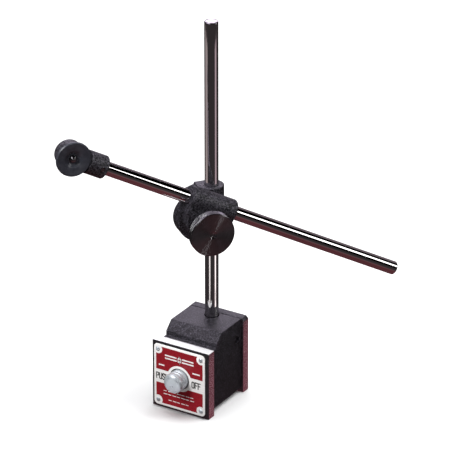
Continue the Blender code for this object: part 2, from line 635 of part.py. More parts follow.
def build_snug(sleeve_axis, bolt_axis):
    """Sleeve with an eye at its end. sleeve_axis Z runs along the rod, bolt_axis Z forward."""
    body = turned("snug_body", rod_profile(SNUG_RADIUS, 0.0, SNUG_LENGTH, 0.0007),
                  BLACK_CRACKLE, sleeve_axis)
    eye = turned("snug_eye", rod_profile(SNUG_EYE_RADIUS, SNUG_EYE_REAR, SNUG_EYE_FRONT, 0.0005),
                 None, bolt_axis)
    reach = SNUG_KNOB_RADIUS + GAP
    front_flat = block_cutter("snug_front_flat", (-0.010, SNUG_EYE_FRONT - 0.0002, -0.010),
                              (0.010, 0.012, reach), sleeve_axis)
    rear_flat = block_cutter("snug_rear_flat", (-0.010, -0.012, -0.010),
                             (0.010, SNUG_EYE_REAR + 0.0002, 0.0085), sleeve_axis)
    cut(body, front_flat, rear_flat)
    join(body, eye)
    cut(body,
        drill("snug_bore", ROD_RADIUS + BORE_CLEARANCE, SNUG_BORE_BOTTOM,
              SNUG_LENGTH + OVERCUT, sleeve_axis, None, FINE),
        drill("snug_bolt_hole", SNUG_BOLT_RADIUS + GAP, -0.010, 0.010, bolt_axis),
        drill("snug_set_screw_hole", SNUG_SCREW_RADIUS + GAP, 0.0, 0.012, sleeve_axis,
              at(0.0, 0.0, SNUG_SCREW_AT, Z_TO_Y), SMALL))
    turned("snug_set_screw", rod_profile(SNUG_SCREW_RADIUS, ROD_RADIUS + 0.0004,
                                         SNUG_RADIUS - GAP, 0.0002),
           BLACKED_STEEL, sleeve_axis, at(0.0, 0.0, SNUG_SCREW_AT, Z_TO_Y), SMALL)


def build_snug_bolt(axis):
    """Swivel bolt: the cross-drilled head behind the eye takes an indicator's stem."""
    head_face = SNUG_EYE_REAR - GAP
    head_end = head_face - SNUG_BOLT_HEAD_LENGTH
    tip = SNUG_KNOB_FACE + 0.0002
    profile = [(0.0, tip), (0.0012, tip - 0.0001), (SNUG_BOLT_RADIUS - 0.0004, tip - 0.0005),
               (SNUG_BOLT_RADIUS, tip - 0.0011), (SNUG_BOLT_RADIUS, head_face),
               (SNUG_BOLT_HEAD_RADIUS, head_face), (SNUG_BOLT_HEAD_RADIUS, head_end + 0.0008),
               (SNUG_BOLT_HEAD_RADIUS - 0.0008, head_end), (0.0, head_end)]
    bolt = turned("snug_bolt", profile, BLACKED_STEEL, axis, segments=MEDIUM)
    cut(bolt, drill("stem_hole", STEM_HOLE_RADIUS, -0.006, 0.006, axis,
                    at(0.0, 0.0, (head_face + head_end) / 2, Z_TO_X)))


def build_snug_knob(axis):
    inner = SNUG_BOLT_RADIUS + GAP
    profile = [(0.0052, SNUG_KNOB_FACE), (SNUG_KNOB_RADIUS - 0.0009, SNUG_KNOB_FACE),
               (SNUG_KNOB_RADIUS, SNUG_KNOB_FACE - 0.0009),
               (SNUG_KNOB_RADIUS, SNUG_KNOB_BACK + 0.0004),
               (SNUG_KNOB_RADIUS - 0.0004, SNUG_KNOB_BACK), (inner, SNUG_KNOB_BACK),
               (inner, SNUG_KNOB_FACE - 0.0016), (0.0038, SNUG_KNOB_FACE - 0.0013)]
    turned("snug_knob", profile, BLACKED_STEEL, axis, ring=True)
    turned("snug_washer", ring_profile(0.0062, inner, SNUG_WASHER_BACK,
                                       SNUG_WASHER_BACK + SNUG_WASHER_THICKNESS, 0.0001),
           ZINC, axis, segments=MEDIUM, ring=True)


# ---------------------------------------------------------------- assembly
def build():
    stand = empty("stand", Matrix.Translation((STAND_X, STAND_Y, 0.0)))
    build_pole_plates(stand)
    build_housing(stand)
    build_cover(stand)
    build_base_fasteners(stand)
    build_label(stand, "front", FRONT_FACE, -1)
    build_label(stand, "rear", REAR_FACE, 1)

    push_axis = empty("push_axis", Matrix.Translation((0.0, 0.0, BUTTON_Z)), stand)
    build_push_rod(push_axis)

    post_axis = empty("post_axis", Matrix.Translation((0.0, POST_Y, 0.0)), stand)
    build_post(post_axis)

    # The stud looks forward, "across" runs level from the stud to the post.
    forward = Vector((math.sin(STUD_HEADING), -math.cos(STUD_HEADING), 0.0))
    across = Vector((math.cos(STUD_HEADING), math.sin(STUD_HEADING), 0.0))
    up = Vector((0.0, 0.0, 1.0))
    along_rod = math.cos(ARM_DROP) * across - math.sin(ARM_DROP) * up
    above_rod = math.sin(ARM_DROP) * across + math.cos(ARM_DROP) * up

    stud_point = Vector((0.0, 0.0, STUD_HEIGHT)) - BORE_OFFSET * across
    rod_plane = 2 * MATING_FACE + GAP
    stud_axis = empty("stud_axis", axes_at(stud_point, across, up, forward), post_axis)
    pivot_axis = empty("pivot_axis", axes_at(stud_point + rod_plane * forward, above_rod,
                                             along_rod, -forward), post_axis)
    build_casting("post_clamp_body", stud_axis)
    build_plug("post_clamp_plug", stud_axis)
    build_stud(stud_axis)
    build_casting("rod_clamp_body", pivot_axis)
    build_plug("rod_clamp_plug", pivot_axis)
    build_clamp_knob(stud_axis)

    rod_point = stud_point + rod_plane * forward + BORE_OFFSET * above_rod
    rod_axis = empty("rod_axis", axes_at(rod_point, above_rod, forward, along_rod), post_axis)
    build_cross_rod(rod_axis)
    eye_point = rod_point + SNUG_EYE_AT * along_rod
    snug_axis = empty("snug_axis", axes_at(eye_point, above_rod, forward, along_rod), post_axis)
    bolt_axis = empty("snug_bolt_axis", axes_at(eye_point, along_rod, above_rod, forward),
                      post_axis)
    build_snug(snug_axis, bolt_axis)
    build_snug_bolt(bolt_axis)
    build_snug_knob(bolt_axis)

    for obj in PARTS.objects:
        if obj.type == "MESH" and obj.data.polygons:
            smooth(obj.data)


build()
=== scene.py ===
"""Looks of the magnetic-base indicator holder. Every length is in metres, +Z is up."""
import json
import math

import bmesh
import bpy
from mathutils import Matrix, Vector


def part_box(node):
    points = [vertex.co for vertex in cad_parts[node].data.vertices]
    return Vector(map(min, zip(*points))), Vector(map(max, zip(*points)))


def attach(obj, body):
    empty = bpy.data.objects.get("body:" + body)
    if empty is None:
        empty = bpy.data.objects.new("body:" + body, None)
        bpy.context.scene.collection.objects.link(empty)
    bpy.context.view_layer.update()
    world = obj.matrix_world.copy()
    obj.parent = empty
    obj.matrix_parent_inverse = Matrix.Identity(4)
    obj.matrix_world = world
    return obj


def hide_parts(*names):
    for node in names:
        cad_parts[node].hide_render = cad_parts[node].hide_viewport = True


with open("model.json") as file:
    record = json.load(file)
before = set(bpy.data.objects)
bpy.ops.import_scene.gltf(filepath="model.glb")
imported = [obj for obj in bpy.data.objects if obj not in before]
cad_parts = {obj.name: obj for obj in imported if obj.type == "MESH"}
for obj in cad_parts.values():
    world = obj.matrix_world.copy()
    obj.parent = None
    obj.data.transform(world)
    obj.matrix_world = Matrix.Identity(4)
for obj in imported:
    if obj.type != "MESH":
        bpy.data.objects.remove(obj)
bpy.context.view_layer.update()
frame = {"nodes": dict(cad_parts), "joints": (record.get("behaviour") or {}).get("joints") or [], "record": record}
NODES = frame["nodes"]
JOINTS = {joint["name"]: joint for joint in frame["joints"]}


# ---------------------------------------------------------------- where things are
def middle(node):
    low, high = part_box(node)
    return (low + high) / 2


def span(node, origin, axis):
    """Lowest and highest reach of a CAD node along an axis through origin."""
    reach = [(vert.co - origin).dot(axis) for vert in NODES[node].data.vertices]
    return min(reach), max(reach)


def axes_at(origin, x_axis, y_axis, z_axis):
    rotation = Matrix((x_axis, y_axis, z_axis)).transposed().to_4x4()
    return Matrix.Translation(origin) @ rotation


UP = Vector((0.0, 0.0, 1.0))
FRONT_LOW, FRONT_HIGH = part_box("front_pole_plate")
REAR_LOW, REAR_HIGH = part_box("rear_pole_plate")
HOUSE_LOW, HOUSE_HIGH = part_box("housing")
BASE_MIDDLE = Vector(((FRONT_LOW.x + FRONT_HIGH.x) / 2, (FRONT_LOW.y + REAR_HIGH.y) / 2, 0.0))
BUTTON_Z = middle("push_rod").z
POST_LOW, POST_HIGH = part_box("post")
POST_AXIS = Vector((middle("post").x, middle("post").y, 0.0))

FORWARD = Vector(JOINTS["arm_pivot"]["axis"]).normalized()
ACROSS = UP.cross(FORWARD)
STUD_POINT = Vector(JOINTS["arm_pivot"]["pos_m"])
ALONG = Vector(JOINTS["rod_slide"]["axis"]).normalized()
ABOVE = FORWARD.cross(ALONG)
ROD_PLANE = (middle("cross_rod") - STUD_POINT).dot(FORWARD)
ROD_POINT = STUD_POINT + ROD_PLANE * FORWARD
ROD_POINT += (middle("cross_rod") - ROD_POINT).dot(ABOVE) * ABOVE
EYE_POINT = Vector(JOINTS["stem_swivel"]["pos_m"])

STUD_FRAME = axes_at(STUD_POINT, ACROSS, UP, FORWARD)
PIVOT_FRAME = axes_at(STUD_POINT + ROD_PLANE * FORWARD, ABOVE, ALONG, -FORWARD)
ROD_FRAME = axes_at(ROD_POINT, ABOVE, FORWARD, ALONG)
SLEEVE_FRAME = axes_at(EYE_POINT, ABOVE, FORWARD, ALONG)
BOLT_FRAME = axes_at(EYE_POINT, ALONG, ABOVE, FORWARD)

Z_TO_X = Matrix.Rotation(math.radians(90.0), 4, "Y")
Z_TO_MINUS_Y = Matrix.Rotation(math.radians(90.0), 4, "X")
Z_TO_Y = Matrix.Rotation(math.radians(-90.0), 4, "X")

BAR_RADIUS = (POST_HIGH.x - POST_LOW.x) / 2


# ---------------------------------------------------------------- material nodes
def set_inputs(node, **values):
    """Base_Color=... sets the input called Base Color, and so on."""
    for name, value in values.items():
        node.inputs[name.replace("_", " ")].default_value = value


def new_material(name, colour, roughness, metallic=0.0):
    mat = bpy.data.materials.new(name)
    mat.use_nodes = True
    shader = mat.node_tree.nodes["Principled BSDF"]
    set_inputs(shader, Base_Color=(*colour, 1.0), Roughness=roughness, Metallic=metallic)
    return mat, mat.node_tree, shader


def coordinates(tree, scale=(1.0, 1.0, 1.0)):
    coords = tree.nodes.new("ShaderNodeTexCoord")
    mapping = tree.nodes.new("ShaderNodeMapping")
    set_inputs(mapping, Scale=scale)
    tree.links.new(coords.outputs["Object"], mapping.inputs["Vector"])
    return mapping.outputs["Vector"]


def noise(tree, scale, detail=3.0, roughness=0.55, stretch=(1.0, 1.0, 1.0), distortion=0.0):
    node = tree.nodes.new("ShaderNodeTexNoise")
    set_inputs(node, Scale=scale, Detail=detail, Roughness=roughness, Distortion=distortion)
    tree.links.new(coordinates(tree, stretch), node.inputs["Vector"])
    return node.outputs["Fac"]


def ramp(tree, value, low, high, low_at, high_at):
    """Colours or greys between two places on a 0 to 1 input."""
    node = tree.nodes.new("ShaderNodeValToRGB")
    node.color_ramp.elements[0].position = low_at
    node.color_ramp.elements[1].position = high_at
    node.color_ramp.elements[0].color = (*low, 1.0)
    node.color_ramp.elements[1].color = (*high, 1.0)
    tree.links.new(value, node.inputs["Fac"])
    return node.outputs["Color"]


def remap(tree, value, low, high, from_low, from_high):
    node = tree.nodes.new("ShaderNodeMapRange")
    set_inputs(node, From_Min=from_low, From_Max=from_high, To_Min=low, To_Max=high)
    tree.links.new(value, node.inputs["Value"])
    return node.outputs["Result"]


def math_node(tree, operation, first, second=None):
    node = tree.nodes.new("ShaderNodeMath")
    node.operation = operation
    for socket, value in zip(node.inputs, (first, second)):
        if value is None:
            continue
        if isinstance(value, (int, float)):
            socket.default_value = value
        else:
            tree.links.new(value, socket)
    return node.outputs["Value"]


def bump(tree, shader, height, strength, distance):
    node = tree.nodes.new("ShaderNodeBump")
    set_inputs(node, Strength=strength, Distance=distance)
    tree.links.new(height, node.inputs["Height"])
    tree.links.new(node.outputs["Normal"], shader.inputs["Normal"])


def vary(tree, shader, value, **sockets):
    """Run sockets such as Roughness=(low, high) between two limits over the middle of a noise."""
    for name, (low, high) in sockets.items():
        colour = isinstance(low, tuple)
        spread = ramp if colour else remap
        socket = shader.inputs["Base Color" if colour else name]
        tree.links.new(spread(tree, value, low, high, 0.3, 0.7), socket)


def radial_tangent(tree, shader, amount):
    """Turned grain: the highlight fans out round the piece's own Z."""
    node = tree.nodes.new("ShaderNodeTangent")
    node.direction_type = "RADIAL"
    node.axis = "Z"
    tree.links.new(node.outputs["Tangent"], shader.inputs["Tangent"])
    set_inputs(shader, Anisotropic=amount, Anisotropic_Rotation=0.25)


def radius_from_z(tree):
    coords = tree.nodes.new("ShaderNodeTexCoord")
    split = tree.nodes.new("ShaderNodeSeparateXYZ")
    tree.links.new(coords.outputs["Object"], split.inputs["Vector"])
    square = [math_node(tree, "MULTIPLY", split.outputs[axis], split.outputs[axis])
              for axis in ("X", "Y")]
    return math_node(tree, "SQRT", math_node(tree, "ADD", *square))


def turning_rings(tree, pitch):
    """Fine concentric tool marks, 0 to 1."""
    phase = math_node(tree, "MULTIPLY", radius_from_z(tree), 2 * math.pi / pitch)
    return remap(tree, math_node(tree, "SINE", phase), 0.0, 1.0, -1.0, 1.0)


# ---------------------------------------------------------------- materials
def crackle_paint(name, fleck, dull, bright):
    """Black wrinkle-finish enamel: fine ridges less than a millimetre apart."""
    mat, tree, shader = new_material(name, (0.02, 0.019, 0.023), 0.45)
    coarse = noise(tree, 1050.0, 4.0, 0.62, distortion=0.6)
    fine = noise(tree, 3600.0, 2.0, 0.5)
    cells = tree.nodes.new("ShaderNodeTexVoronoi")
    cells.feature = "SMOOTH_F1"
    set_inputs(cells, Scale=1500.0)
    tree.links.new(coordinates(tree), cells.inputs["Vector"])
    ridges = math_node(tree, "MULTIPLY", cells.outputs["Distance"], 0.5)
    grit = math_node(tree, "MULTIPLY", fine, 0.25)
    height = math_node(tree, "ADD", math_node(tree, "ADD", coarse, ridges), grit)
    patches = noise(tree, 90.0, 3.0)
    tint = ramp(tree, patches, (0.008, 0.008, 0.009), (0.016, 0.015, 0.018), 0.3, 0.7)
    flecks = ramp(tree, coarse, (0.0, 0.0, 0.0), fleck, 0.48, 0.70)
    mix = tree.nodes.new("ShaderNodeMix")
    mix.data_type = "RGBA"
    mix.blend_type = "ADD"
    set_inputs(mix, Factor=1.0)
    tree.links.new(tint, mix.inputs["A"])
    tree.links.new(flecks, mix.inputs["B"])
    tree.links.new(mix.outputs["Result"], shader.inputs["Base Color"])
    vary(tree, shader, coarse, Roughness=(0.34, 0.60))
    tree.links.new(remap(tree, coarse, dull, bright, 0.36, 0.64),
                   shader.inputs["Specular IOR Level"])
    bump(tree, shader, height, 0.60, 0.00020)
    return mat


def polished_bar():
    """Ground and polished bar: nearly a mirror, with faint lengthwise lines."""
    mat, tree, shader = new_material("polished_bar", (0.70, 0.69, 0.69), 0.05, 1.0)
    lines = noise(tree, 1500.0, 3.0, 0.6, (1.0, 1.0, 0.02))
    smears = noise(tree, 60.0, 3.0, 0.5, (1.0, 1.0, 0.35))
    rough = math_node(tree, "ADD", remap(tree, lines, 0.03, 0.06, 0.35, 0.65),
                      remap(tree, smears, 0.0, 0.03, 0.4, 0.7))
    tree.links.new(rough, shader.inputs["Roughness"])
    vary(tree, shader, smears, Colour=((0.64, 0.63, 0.63), (0.76, 0.75, 0.75)))
    bump(tree, shader, lines, 0.04, 0.00002)
    return mat


def ground_steel():
    """Surface-ground steel, with fine grinding lines along X."""
    mat, tree, shader = new_material("ground_steel", (0.60, 0.59, 0.60), 0.24, 1.0)
    lines = noise(tree, 2600.0, 3.0, 0.6, (0.03, 1.0, 1.0))
    stains = noise(tree, 120.0, 4.0, 0.6)
    tree.links.new(ramp(tree, stains, (0.48, 0.47, 0.48), (0.66, 0.65, 0.66), 0.3, 0.68),
                   shader.inputs["Base Color"])
    vary(tree, shader, lines, Roughness=(0.17, 0.33))
    bump(tree, shader, lines, 0.10, 0.00003)
    return mat


def blacked_knob():
    """Turned and blacked steel: near black, with a fanned highlight and fine tool rings."""
    mat, tree, shader = new_material("blacked_turned", (0.30, 0.30, 0.31), 0.29, 1.0)
    radial_tangent(tree, shader, 1.0)
    wear = noise(tree, 220.0, 4.0, 0.6)
    tree.links.new(ramp(tree, wear, (0.36, 0.36, 0.37), (0.46, 0.46, 0.48), 0.35, 0.7),
                   shader.inputs["Base Color"])
    vary(tree, shader, wear, Roughness=(0.27, 0.31))
    bump(tree, shader, turning_rings(tree, 0.00042), 0.06, 0.00002)
    return mat


def satin_knob():
    """Blacked steel with a matter blue-grey bloom."""
    mat, tree, shader = new_material("blacked_satin", (0.030, 0.032, 0.042), 0.36)
    set_inputs(shader, Specular_IOR_Level=0.9)
    radial_tangent(tree, shader, 0.6)
    bloom = noise(tree, 260.0, 4.0, 0.6)
    vary(tree, shader, bloom, Colour=((0.022, 0.024, 0.032), (0.042, 0.044, 0.056)),
         Roughness=(0.32, 0.44))
    bump(tree, shader, turning_rings(tree, 0.00035), 0.08, 0.00002)
    return mat


def bright_zinc():
    """Bright zinc plate over turned steel."""
    mat, tree, shader = new_material("bright_zinc", (0.50, 0.54, 0.58), 0.30, 0.55)
    radial_tangent(tree, shader, 0.30)
    cloud = noise(tree, 340.0, 3.0, 0.55)
    vary(tree, shader, cloud, Colour=((0.50, 0.54, 0.58), (0.56, 0.60, 0.63)),
         Roughness=(0.26, 0.36))
    bump(tree, shader, turning_rings(tree, 0.00040), 0.08, 0.00002)
    return mat


def mottled(name, colour, roughness, metallic, pattern, shades, relief=None, specular=0.5):
    """A finish whose shade wanders with one noise, which may also raise its surface."""
    mat, tree, shader = new_material(name, colour, roughness, metallic)
    set_inputs(shader, Specular_IOR_Level=specular)
    mottle = noise(tree, *pattern)
    vary(tree, shader, mottle, Colour=shades)
    if relief:
        bump(tree, shader, mottle, *relief)
    return mat


def brass_metal():
    mat, tree, shader = new_material("turned_brass", (0.72, 0.52, 0.22), 0.3, 1.0)
    tarnish = noise(tree, 400.0, 4.0, 0.6)
    vary(tree, shader, tarnish, Colour=((0.50, 0.34, 0.13), (0.78, 0.58, 0.27)))
    bump(tree, shader, turning_rings(tree, 0.0003), 0.1, 0.00002)
    return mat


CRACKLE = crackle_paint("crackle_paint", (0.084, 0.076, 0.098), 0.52, 0.80)
CAST = crackle_paint("crackle_cast", (0.085, 0.078, 0.100), 0.05, 1.45)
POLISHED = polished_bar()
GROUND = ground_steel()
# Painted highlight: a whiter, less metallic copy of the ground steel for the front plate's top, standing in for
# the reflection of a white soft box.
GROUND_TOP_PAINTED_HIGHLIGHT = mottled("ground_top_painted_highlight", (0.80, 0.80, 0.81), 0.48, 0.35,
                     (2200.0, 3.0, 0.6, (0.03, 1.0, 1.0)),
                     ((0.70, 0.70, 0.71), (0.86, 0.86, 0.87)), (0.08, 0.00002))
BLACKED = blacked_knob()
SATIN = satin_knob()
ZINC = bright_zinc()
ENAMEL = mottled("black_enamel", (0.012, 0.011, 0.013), 0.32, 0.0, (900.0, 2.0, 0.5),
                 ((0.008, 0.008, 0.009), (0.020, 0.019, 0.022)), (0.12, 0.00005))
SILVER = mottled("label_silver", (0.80, 0.79, 0.78), 0.36, 0.0,
                 (1400.0, 3.0, 0.6, (0.05, 1.0, 1.0)),
                 ((0.74, 0.73, 0.72), (0.84, 0.83, 0.82)), (0.05, 0.00002))
RED = mottled("label_red", (0.24, 0.010, 0.017), 0.34, 0.0, (700.0, 3.0, 0.6),
              ((0.20, 0.008, 0.013), (0.28, 0.014, 0.022)), (0.05, 0.00003), 0.35)
INK = mottled("label_ink", (0.03, 0.028, 0.028), 0.45, 0.0, (1500.0, 2.0, 0.5),
              ((0.02, 0.018, 0.018), (0.05, 0.046, 0.046)))
BRASS = brass_metal()
MAGNET = mottled("magnet_block", (0.16, 0.16, 0.17), 0.5, 0.7, (1200.0, 4.0, 0.6),
                 ((0.10, 0.10, 0.11), (0.22, 0.22, 0.23)), (0.2, 0.00005))
COVER = mottled("cover_moulding", (0.03, 0.03, 0.03), 0.55, 0.0, (1600.0, 3.0, 0.6),
                ((0.02, 0.02, 0.02), (0.045, 0.045, 0.045)), (0.25, 0.00006))


# ---------------------------------------------------------------- building
def link(name, mesh, mat=None, matrix=None):
    obj = bpy.data.objects.new(name, mesh)
    bpy.context.scene.collection.objects.link(obj)
    if mat is not None:
        mesh.materials.append(mat)
    if matrix is not None:
        obj.matrix_world = matrix
    return obj


def shade(obj, angle=32.0):
    obj.data.shade_smooth()
    obj.data.set_sharp_from_angle(angle=math.radians(angle))
    return obj


def finish_piece(obj, body, slot, *nodes):
    """The piece rides on its body and stands for its CAD nodes, which it hides; the slot argument is not used."""
    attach(obj, body)
    if nodes:
        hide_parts(*nodes)


def rounded_profile(corners):
    """Round the corners of an open (radius, height, fillet) profile."""
    steps = 4
    points = []
    for index, (radius, height, fillet) in enumerate(corners):
        here = Vector((radius, height))
        if fillet <= 0.0 or index in (0, len(corners) - 1):
            points.append(here)
            continue
        back = Vector(corners[index - 1][:2]) - here
        ahead = Vector(corners[index + 1][:2]) - here
        reach = min(fillet, 0.49 * back.length, 0.49 * ahead.length)
        start = here + back.normalized() * reach
        end = here + ahead.normalized() * reach
        for step in range(steps + 1):
            t = step / steps
            points.append((1 - t) ** 2 * start + 2 * t * (1 - t) * here + t * t * end)
    return points


def mesh_from(bm, name):
    mesh = bpy.data.meshes.new(name)
    bm.to_mesh(mesh)
    bm.free()
    return mesh


def lathe_mesh(name, points, segments, ripple=None, ring=False):
    """Turn (radius, height) points about Z; ripple(radius, height, angle) may change a radius."""
    bm = bmesh.new()
    rings = []
    for radius, height in points:
        if radius < 1e-7:
            rings.append([bm.verts.new((0.0, 0.0, height))])
            continue
        row = []
        for step in range(segments):
            angle = 2 * math.pi * step / segments
            wide = ripple(radius, height, angle) if ripple else radius
            row.append(bm.verts.new((wide * math.cos(angle), wide * math.sin(angle), height)))
        rings.append(row)
    pairs = list(zip(rings, rings[1:]))
    if ring:
        pairs.append((rings[-1], rings[0]))
    for upper, lower in pairs:
        for step in range(segments):
            after = (step + 1) % segments
            if len(upper) == 1 and len(lower) == 1:
                continue
            if len(upper) == 1:
                bm.faces.new((upper[0], lower[step], lower[after]))
            elif len(lower) == 1:
                bm.faces.new((upper[step], lower[0], upper[after]))
            else:
                bm.faces.new((upper[step], lower[step], lower[after], upper[after]))
    bmesh.ops.recalc_face_normals(bm, faces=bm.faces)
    return mesh_from(bm, name)


def turned(name, corners, mat, matrix, segments=96, ripple=None, ring=False, angle=32.0):
    mesh = lathe_mesh(name, rounded_profile(corners), segments, ripple, ring)
    return shade(link(name, mesh, mat, matrix), angle)


def prism_mesh(name, outline, low, high):
    """Extrude a closed (x, y) outline from z = low to z = high."""
    bm = bmesh.new()
    floor = bm.faces.new([bm.verts.new((x, y, low)) for x, y in outline])
    grown = bmesh.ops.extrude_face_region(bm, geom=[floor])
    lifted = [item for item in grown["geom"] if isinstance(item, bmesh.types.BMVert)]
    bmesh.ops.translate(bm, verts=lifted, vec=(0.0, 0.0, high - low))
    bmesh.ops.recalc_face_normals(bm, faces=bm.faces)
    return mesh_from(bm, name)


def box_mesh(name, low, high):
    outline = [(low[0], low[1]), (high[0], low[1]), (high[0], high[1]), (low[0], high[1])]
    return prism_mesh(name, outline, low[2], high[2])


def cylinder_mesh(name, radius, low, high, segments):
    return lathe_mesh(name, [(0.0, high), (radius, high), (radius, low), (0.0, low)], segments)


def block(name, low, high, matrix=None, mat=None):
    return link(name, box_mesh(name, low, high), mat, matrix)


def drill(name, radius, low, high, matrix, segments=64):
    """A cylinder along the Z of a placement, to cut a hole with."""
    return link(name, cylinder_mesh(name, radius, low, high, segments), None, matrix)


def bevel(obj, width, segments=3):
    modifier = obj.modifiers.new("edge", "BEVEL")
    modifier.width = width
    modifier.segments = segments
    modifier.limit_method = "ANGLE"
    modifier.angle_limit = math.radians(40.0)
    modifier.harden_normals = False


def boolean(obj, tool, operation="DIFFERENCE"):
    modifier = obj.modifiers.new("cut", "BOOLEAN")
    modifier.object = tool
    modifier.operation = operation
    modifier.solver = "EXACT"


def bake_down(obj, *tools):
    """Apply every modifier, then drop the tools."""
    bpy.context.view_layer.update()
    depsgraph = bpy.context.evaluated_depsgraph_get()
    mesh = bpy.data.meshes.new_from_object(obj.evaluated_get(depsgraph))
    obj.modifiers.clear()
    obj.data = mesh
    for tool in tools:
        bpy.data.objects.remove(tool, do_unlink=True)


def cut(obj, *tools):
    """Take the tools out of a piece and drop them."""
    for tool in tools:
        boolean(obj, tool)
    bake_down(obj, *tools)


def face_material(obj, mat, chosen):
    """Give a second material to the faces that chosen(normal) picks."""
    obj.data.materials.append(mat)
    index = len(obj.data.materials) - 1
    for face in obj.data.polygons:
        if chosen(face.normal):
            face.material_index = index


# ---------------------------------------------------------------- magnetic base
BUTTON_HOLE = (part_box("off_button")[1].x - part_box("off_button")[0].x) / 2 + 0.0004


def build_plates():
    centre = BASE_MIDDLE.x
    button_axis = Matrix.Translation((centre, 0.0, BUTTON_Z))
    hole = drill("hole", BUTTON_HOLE, -0.05, 0.05, button_axis @ Z_TO_Y)
    edge = 0.0004
    extra = Vector((0.0006, 0.0, 0.0006))   # the photo's front plate is wider and taller
    front = block("pole_plate_front", FRONT_LOW, FRONT_HIGH + extra, mat=GROUND)
    bevel(front, edge)
    boolean(front, hole)
    bake_down(front)
    face_material(front, ENAMEL, lambda n: n.y < -0.25)
    # The front plate's upward faces take the painted highlight copy of the ground steel.
    face_material(front, GROUND_TOP_PAINTED_HIGHLIGHT, lambda n: n.z > 0.5 and n.y > -0.25)
    shade(front)
    finish_piece(front, "base", "ground_steel", "front_pole_plate")

    corner = 0.0018
    outline = [(REAR_LOW.x, 0.0), (REAR_HIGH.x, 0.0), (REAR_HIGH.x, REAR_HIGH.z - corner),
               (REAR_HIGH.x - corner, REAR_HIGH.z), (REAR_LOW.x + corner, REAR_HIGH.z),
               (REAR_LOW.x, REAR_HIGH.z - corner)]
    mesh = prism_mesh("pole_plate_rear", outline, -REAR_HIGH.y, -REAR_LOW.y)
    rear = link("pole_plate_rear", mesh, GROUND)
    mesh.transform(Z_TO_MINUS_Y)
    bevel(rear, edge)
    boolean(rear, hole)
    bake_down(rear, hole)
    face_material(rear, CRACKLE, lambda n: n.z > 0.5 or abs(n.y) > 0.8)
    shade(rear)
    finish_piece(rear, "base", "ground_steel", "rear_pole_plate")


def build_housing():
    """Stepped body: low ledge behind the front plate, wall, chamfer and top."""
    y0 = HOUSE_LOW.y
    y1 = HOUSE_HIGH.y
    top_y = BASE_MIDDLE.y - 0.0055
    wall_y = BASE_MIDDLE.y - 0.0122
    wall_z = 0.0509
    ledge_z = 0.0479
    outline = [(y0, HOUSE_LOW.z), (y1, HOUSE_LOW.z), (y1, HOUSE_HIGH.z), (top_y, HOUSE_HIGH.z),
               (wall_y, wall_z), (wall_y, ledge_z), (y0, ledge_z)]
    mesh = prism_mesh("housing_shell", outline, HOUSE_LOW.x, HOUSE_HIGH.x)
    mesh.transform(Matrix(((0, 0, 1, 0), (1, 0, 0, 0), (0, 1, 0, 0), (0, 0, 0, 1))))
    shell = link("housing_shell", mesh, CRACKLE)
    bevel(shell, 0.0005)
    half_wide = 0.014
    thick = 0.0042
    chamber = block("chamber", (BASE_MIDDLE.x - half_wide, y0 + thick, -0.001),
                    (BASE_MIDDLE.x + half_wide, y1 - thick, 0.0378))
    socket = drill("socket", BAR_RADIUS + 0.0005, 0.0400, 0.06, Matrix.Translation(POST_AXIS))
    screw_at = Vector((POST_AXIS.x, POST_AXIS.y, middle("post_set_screw").z))
    tapped = drill("tapped", 0.0026, 0.0, 0.03, Matrix.Translation(screw_at) @ Z_TO_X, 32)
    cut(shell, chamber, socket, tapped)
    shade(shell)
    finish_piece(shell, "base", "black_crackle", "housing")


def label_field(top):
    """Outline of the upper or lower red field: notched round the screws and the button."""
    half = 0.0187
    edge = 0.02155
    screw = (0.0172, 0.0195)
    notch = 0.0035
    ring_z = BUTTON_Z - middle("front_label").z
    ring = 0.0096
    inner = 0.0040 if top else -0.0061
    sign = 1 if top else -1
    points = []
    run = math.sqrt(ring * ring - (inner - ring_z) ** 2)
    start = math.atan2(inner - ring_z, run)
    stop = math.pi - start if top else -math.pi - start
    for step in range(25):
        angle = start + (stop - start) * step / 24
        points.append((ring * math.cos(angle), ring_z + ring * math.sin(angle)))
    points.append((-half, inner))
    side = math.sqrt(notch ** 2 - (half - screw[0]) ** 2)
    over = math.sqrt(notch ** 2 - (edge - screw[1]) ** 2)
    first = math.atan2(-side, half - screw[0])
    last = math.atan2(edge - screw[1], -over)
    if last > 0:
        last -= 2 * math.pi
    arc = []
    for step in range(11):
        angle = first + (last - first) * step / 10
        arc.append((screw[0] + notch * math.cos(angle), screw[1] + notch * math.sin(angle)))
    points += [(-x, sign * z) for x, z in arc]
    points += [(x, sign * z) for x, z in reversed(arc)]
    points.append((half, inner))
    return points


def letter_strokes(word):
    """Plain stroke capitals on a 0.6 by 1 grid."""
    shapes = {
        "P": [[(0, 0), (0, 1), (0.45, 1), (0.6, 0.88), (0.6, 0.62), (0.45, 0.5), (0, 0.5)]],
        "U": [[(0, 1), (0, 0.15), (0.15, 0), (0.45, 0), (0.6, 0.15), (0.6, 1)]],
        "S": [[(0.6, 0.85), (0.45, 1), (0.15, 1), (0, 0.86), (0, 0.65), (0.15, 0.53),
               (0.45, 0.47), (0.6, 0.35), (0.6, 0.14), (0.45, 0), (0.15, 0), (0, 0.15)]],
        "H": [[(0, 0), (0, 1)], [(0, 0.5), (0.6, 0.5)], [(0.6, 0), (0.6, 1)]],
        "O": [[(0.15, 0), (0, 0.15), (0, 0.85), (0.15, 1), (0.45, 1), (0.6, 0.85),
               (0.6, 0.15), (0.45, 0), (0.15, 0)]],
        "F": [[(0, 0), (0, 1), (0.6, 1)], [(0, 0.52), (0.48, 0.52)]],
        "N": [[(0, 0), (0, 1), (0.6, 0), (0.6, 1)]],
    }
    strokes = []
    for place, letter in enumerate(word):
        for stroke in shapes[letter]:
            strokes.append([(x + place * 0.92, y) for x, y in stroke])
    return strokes


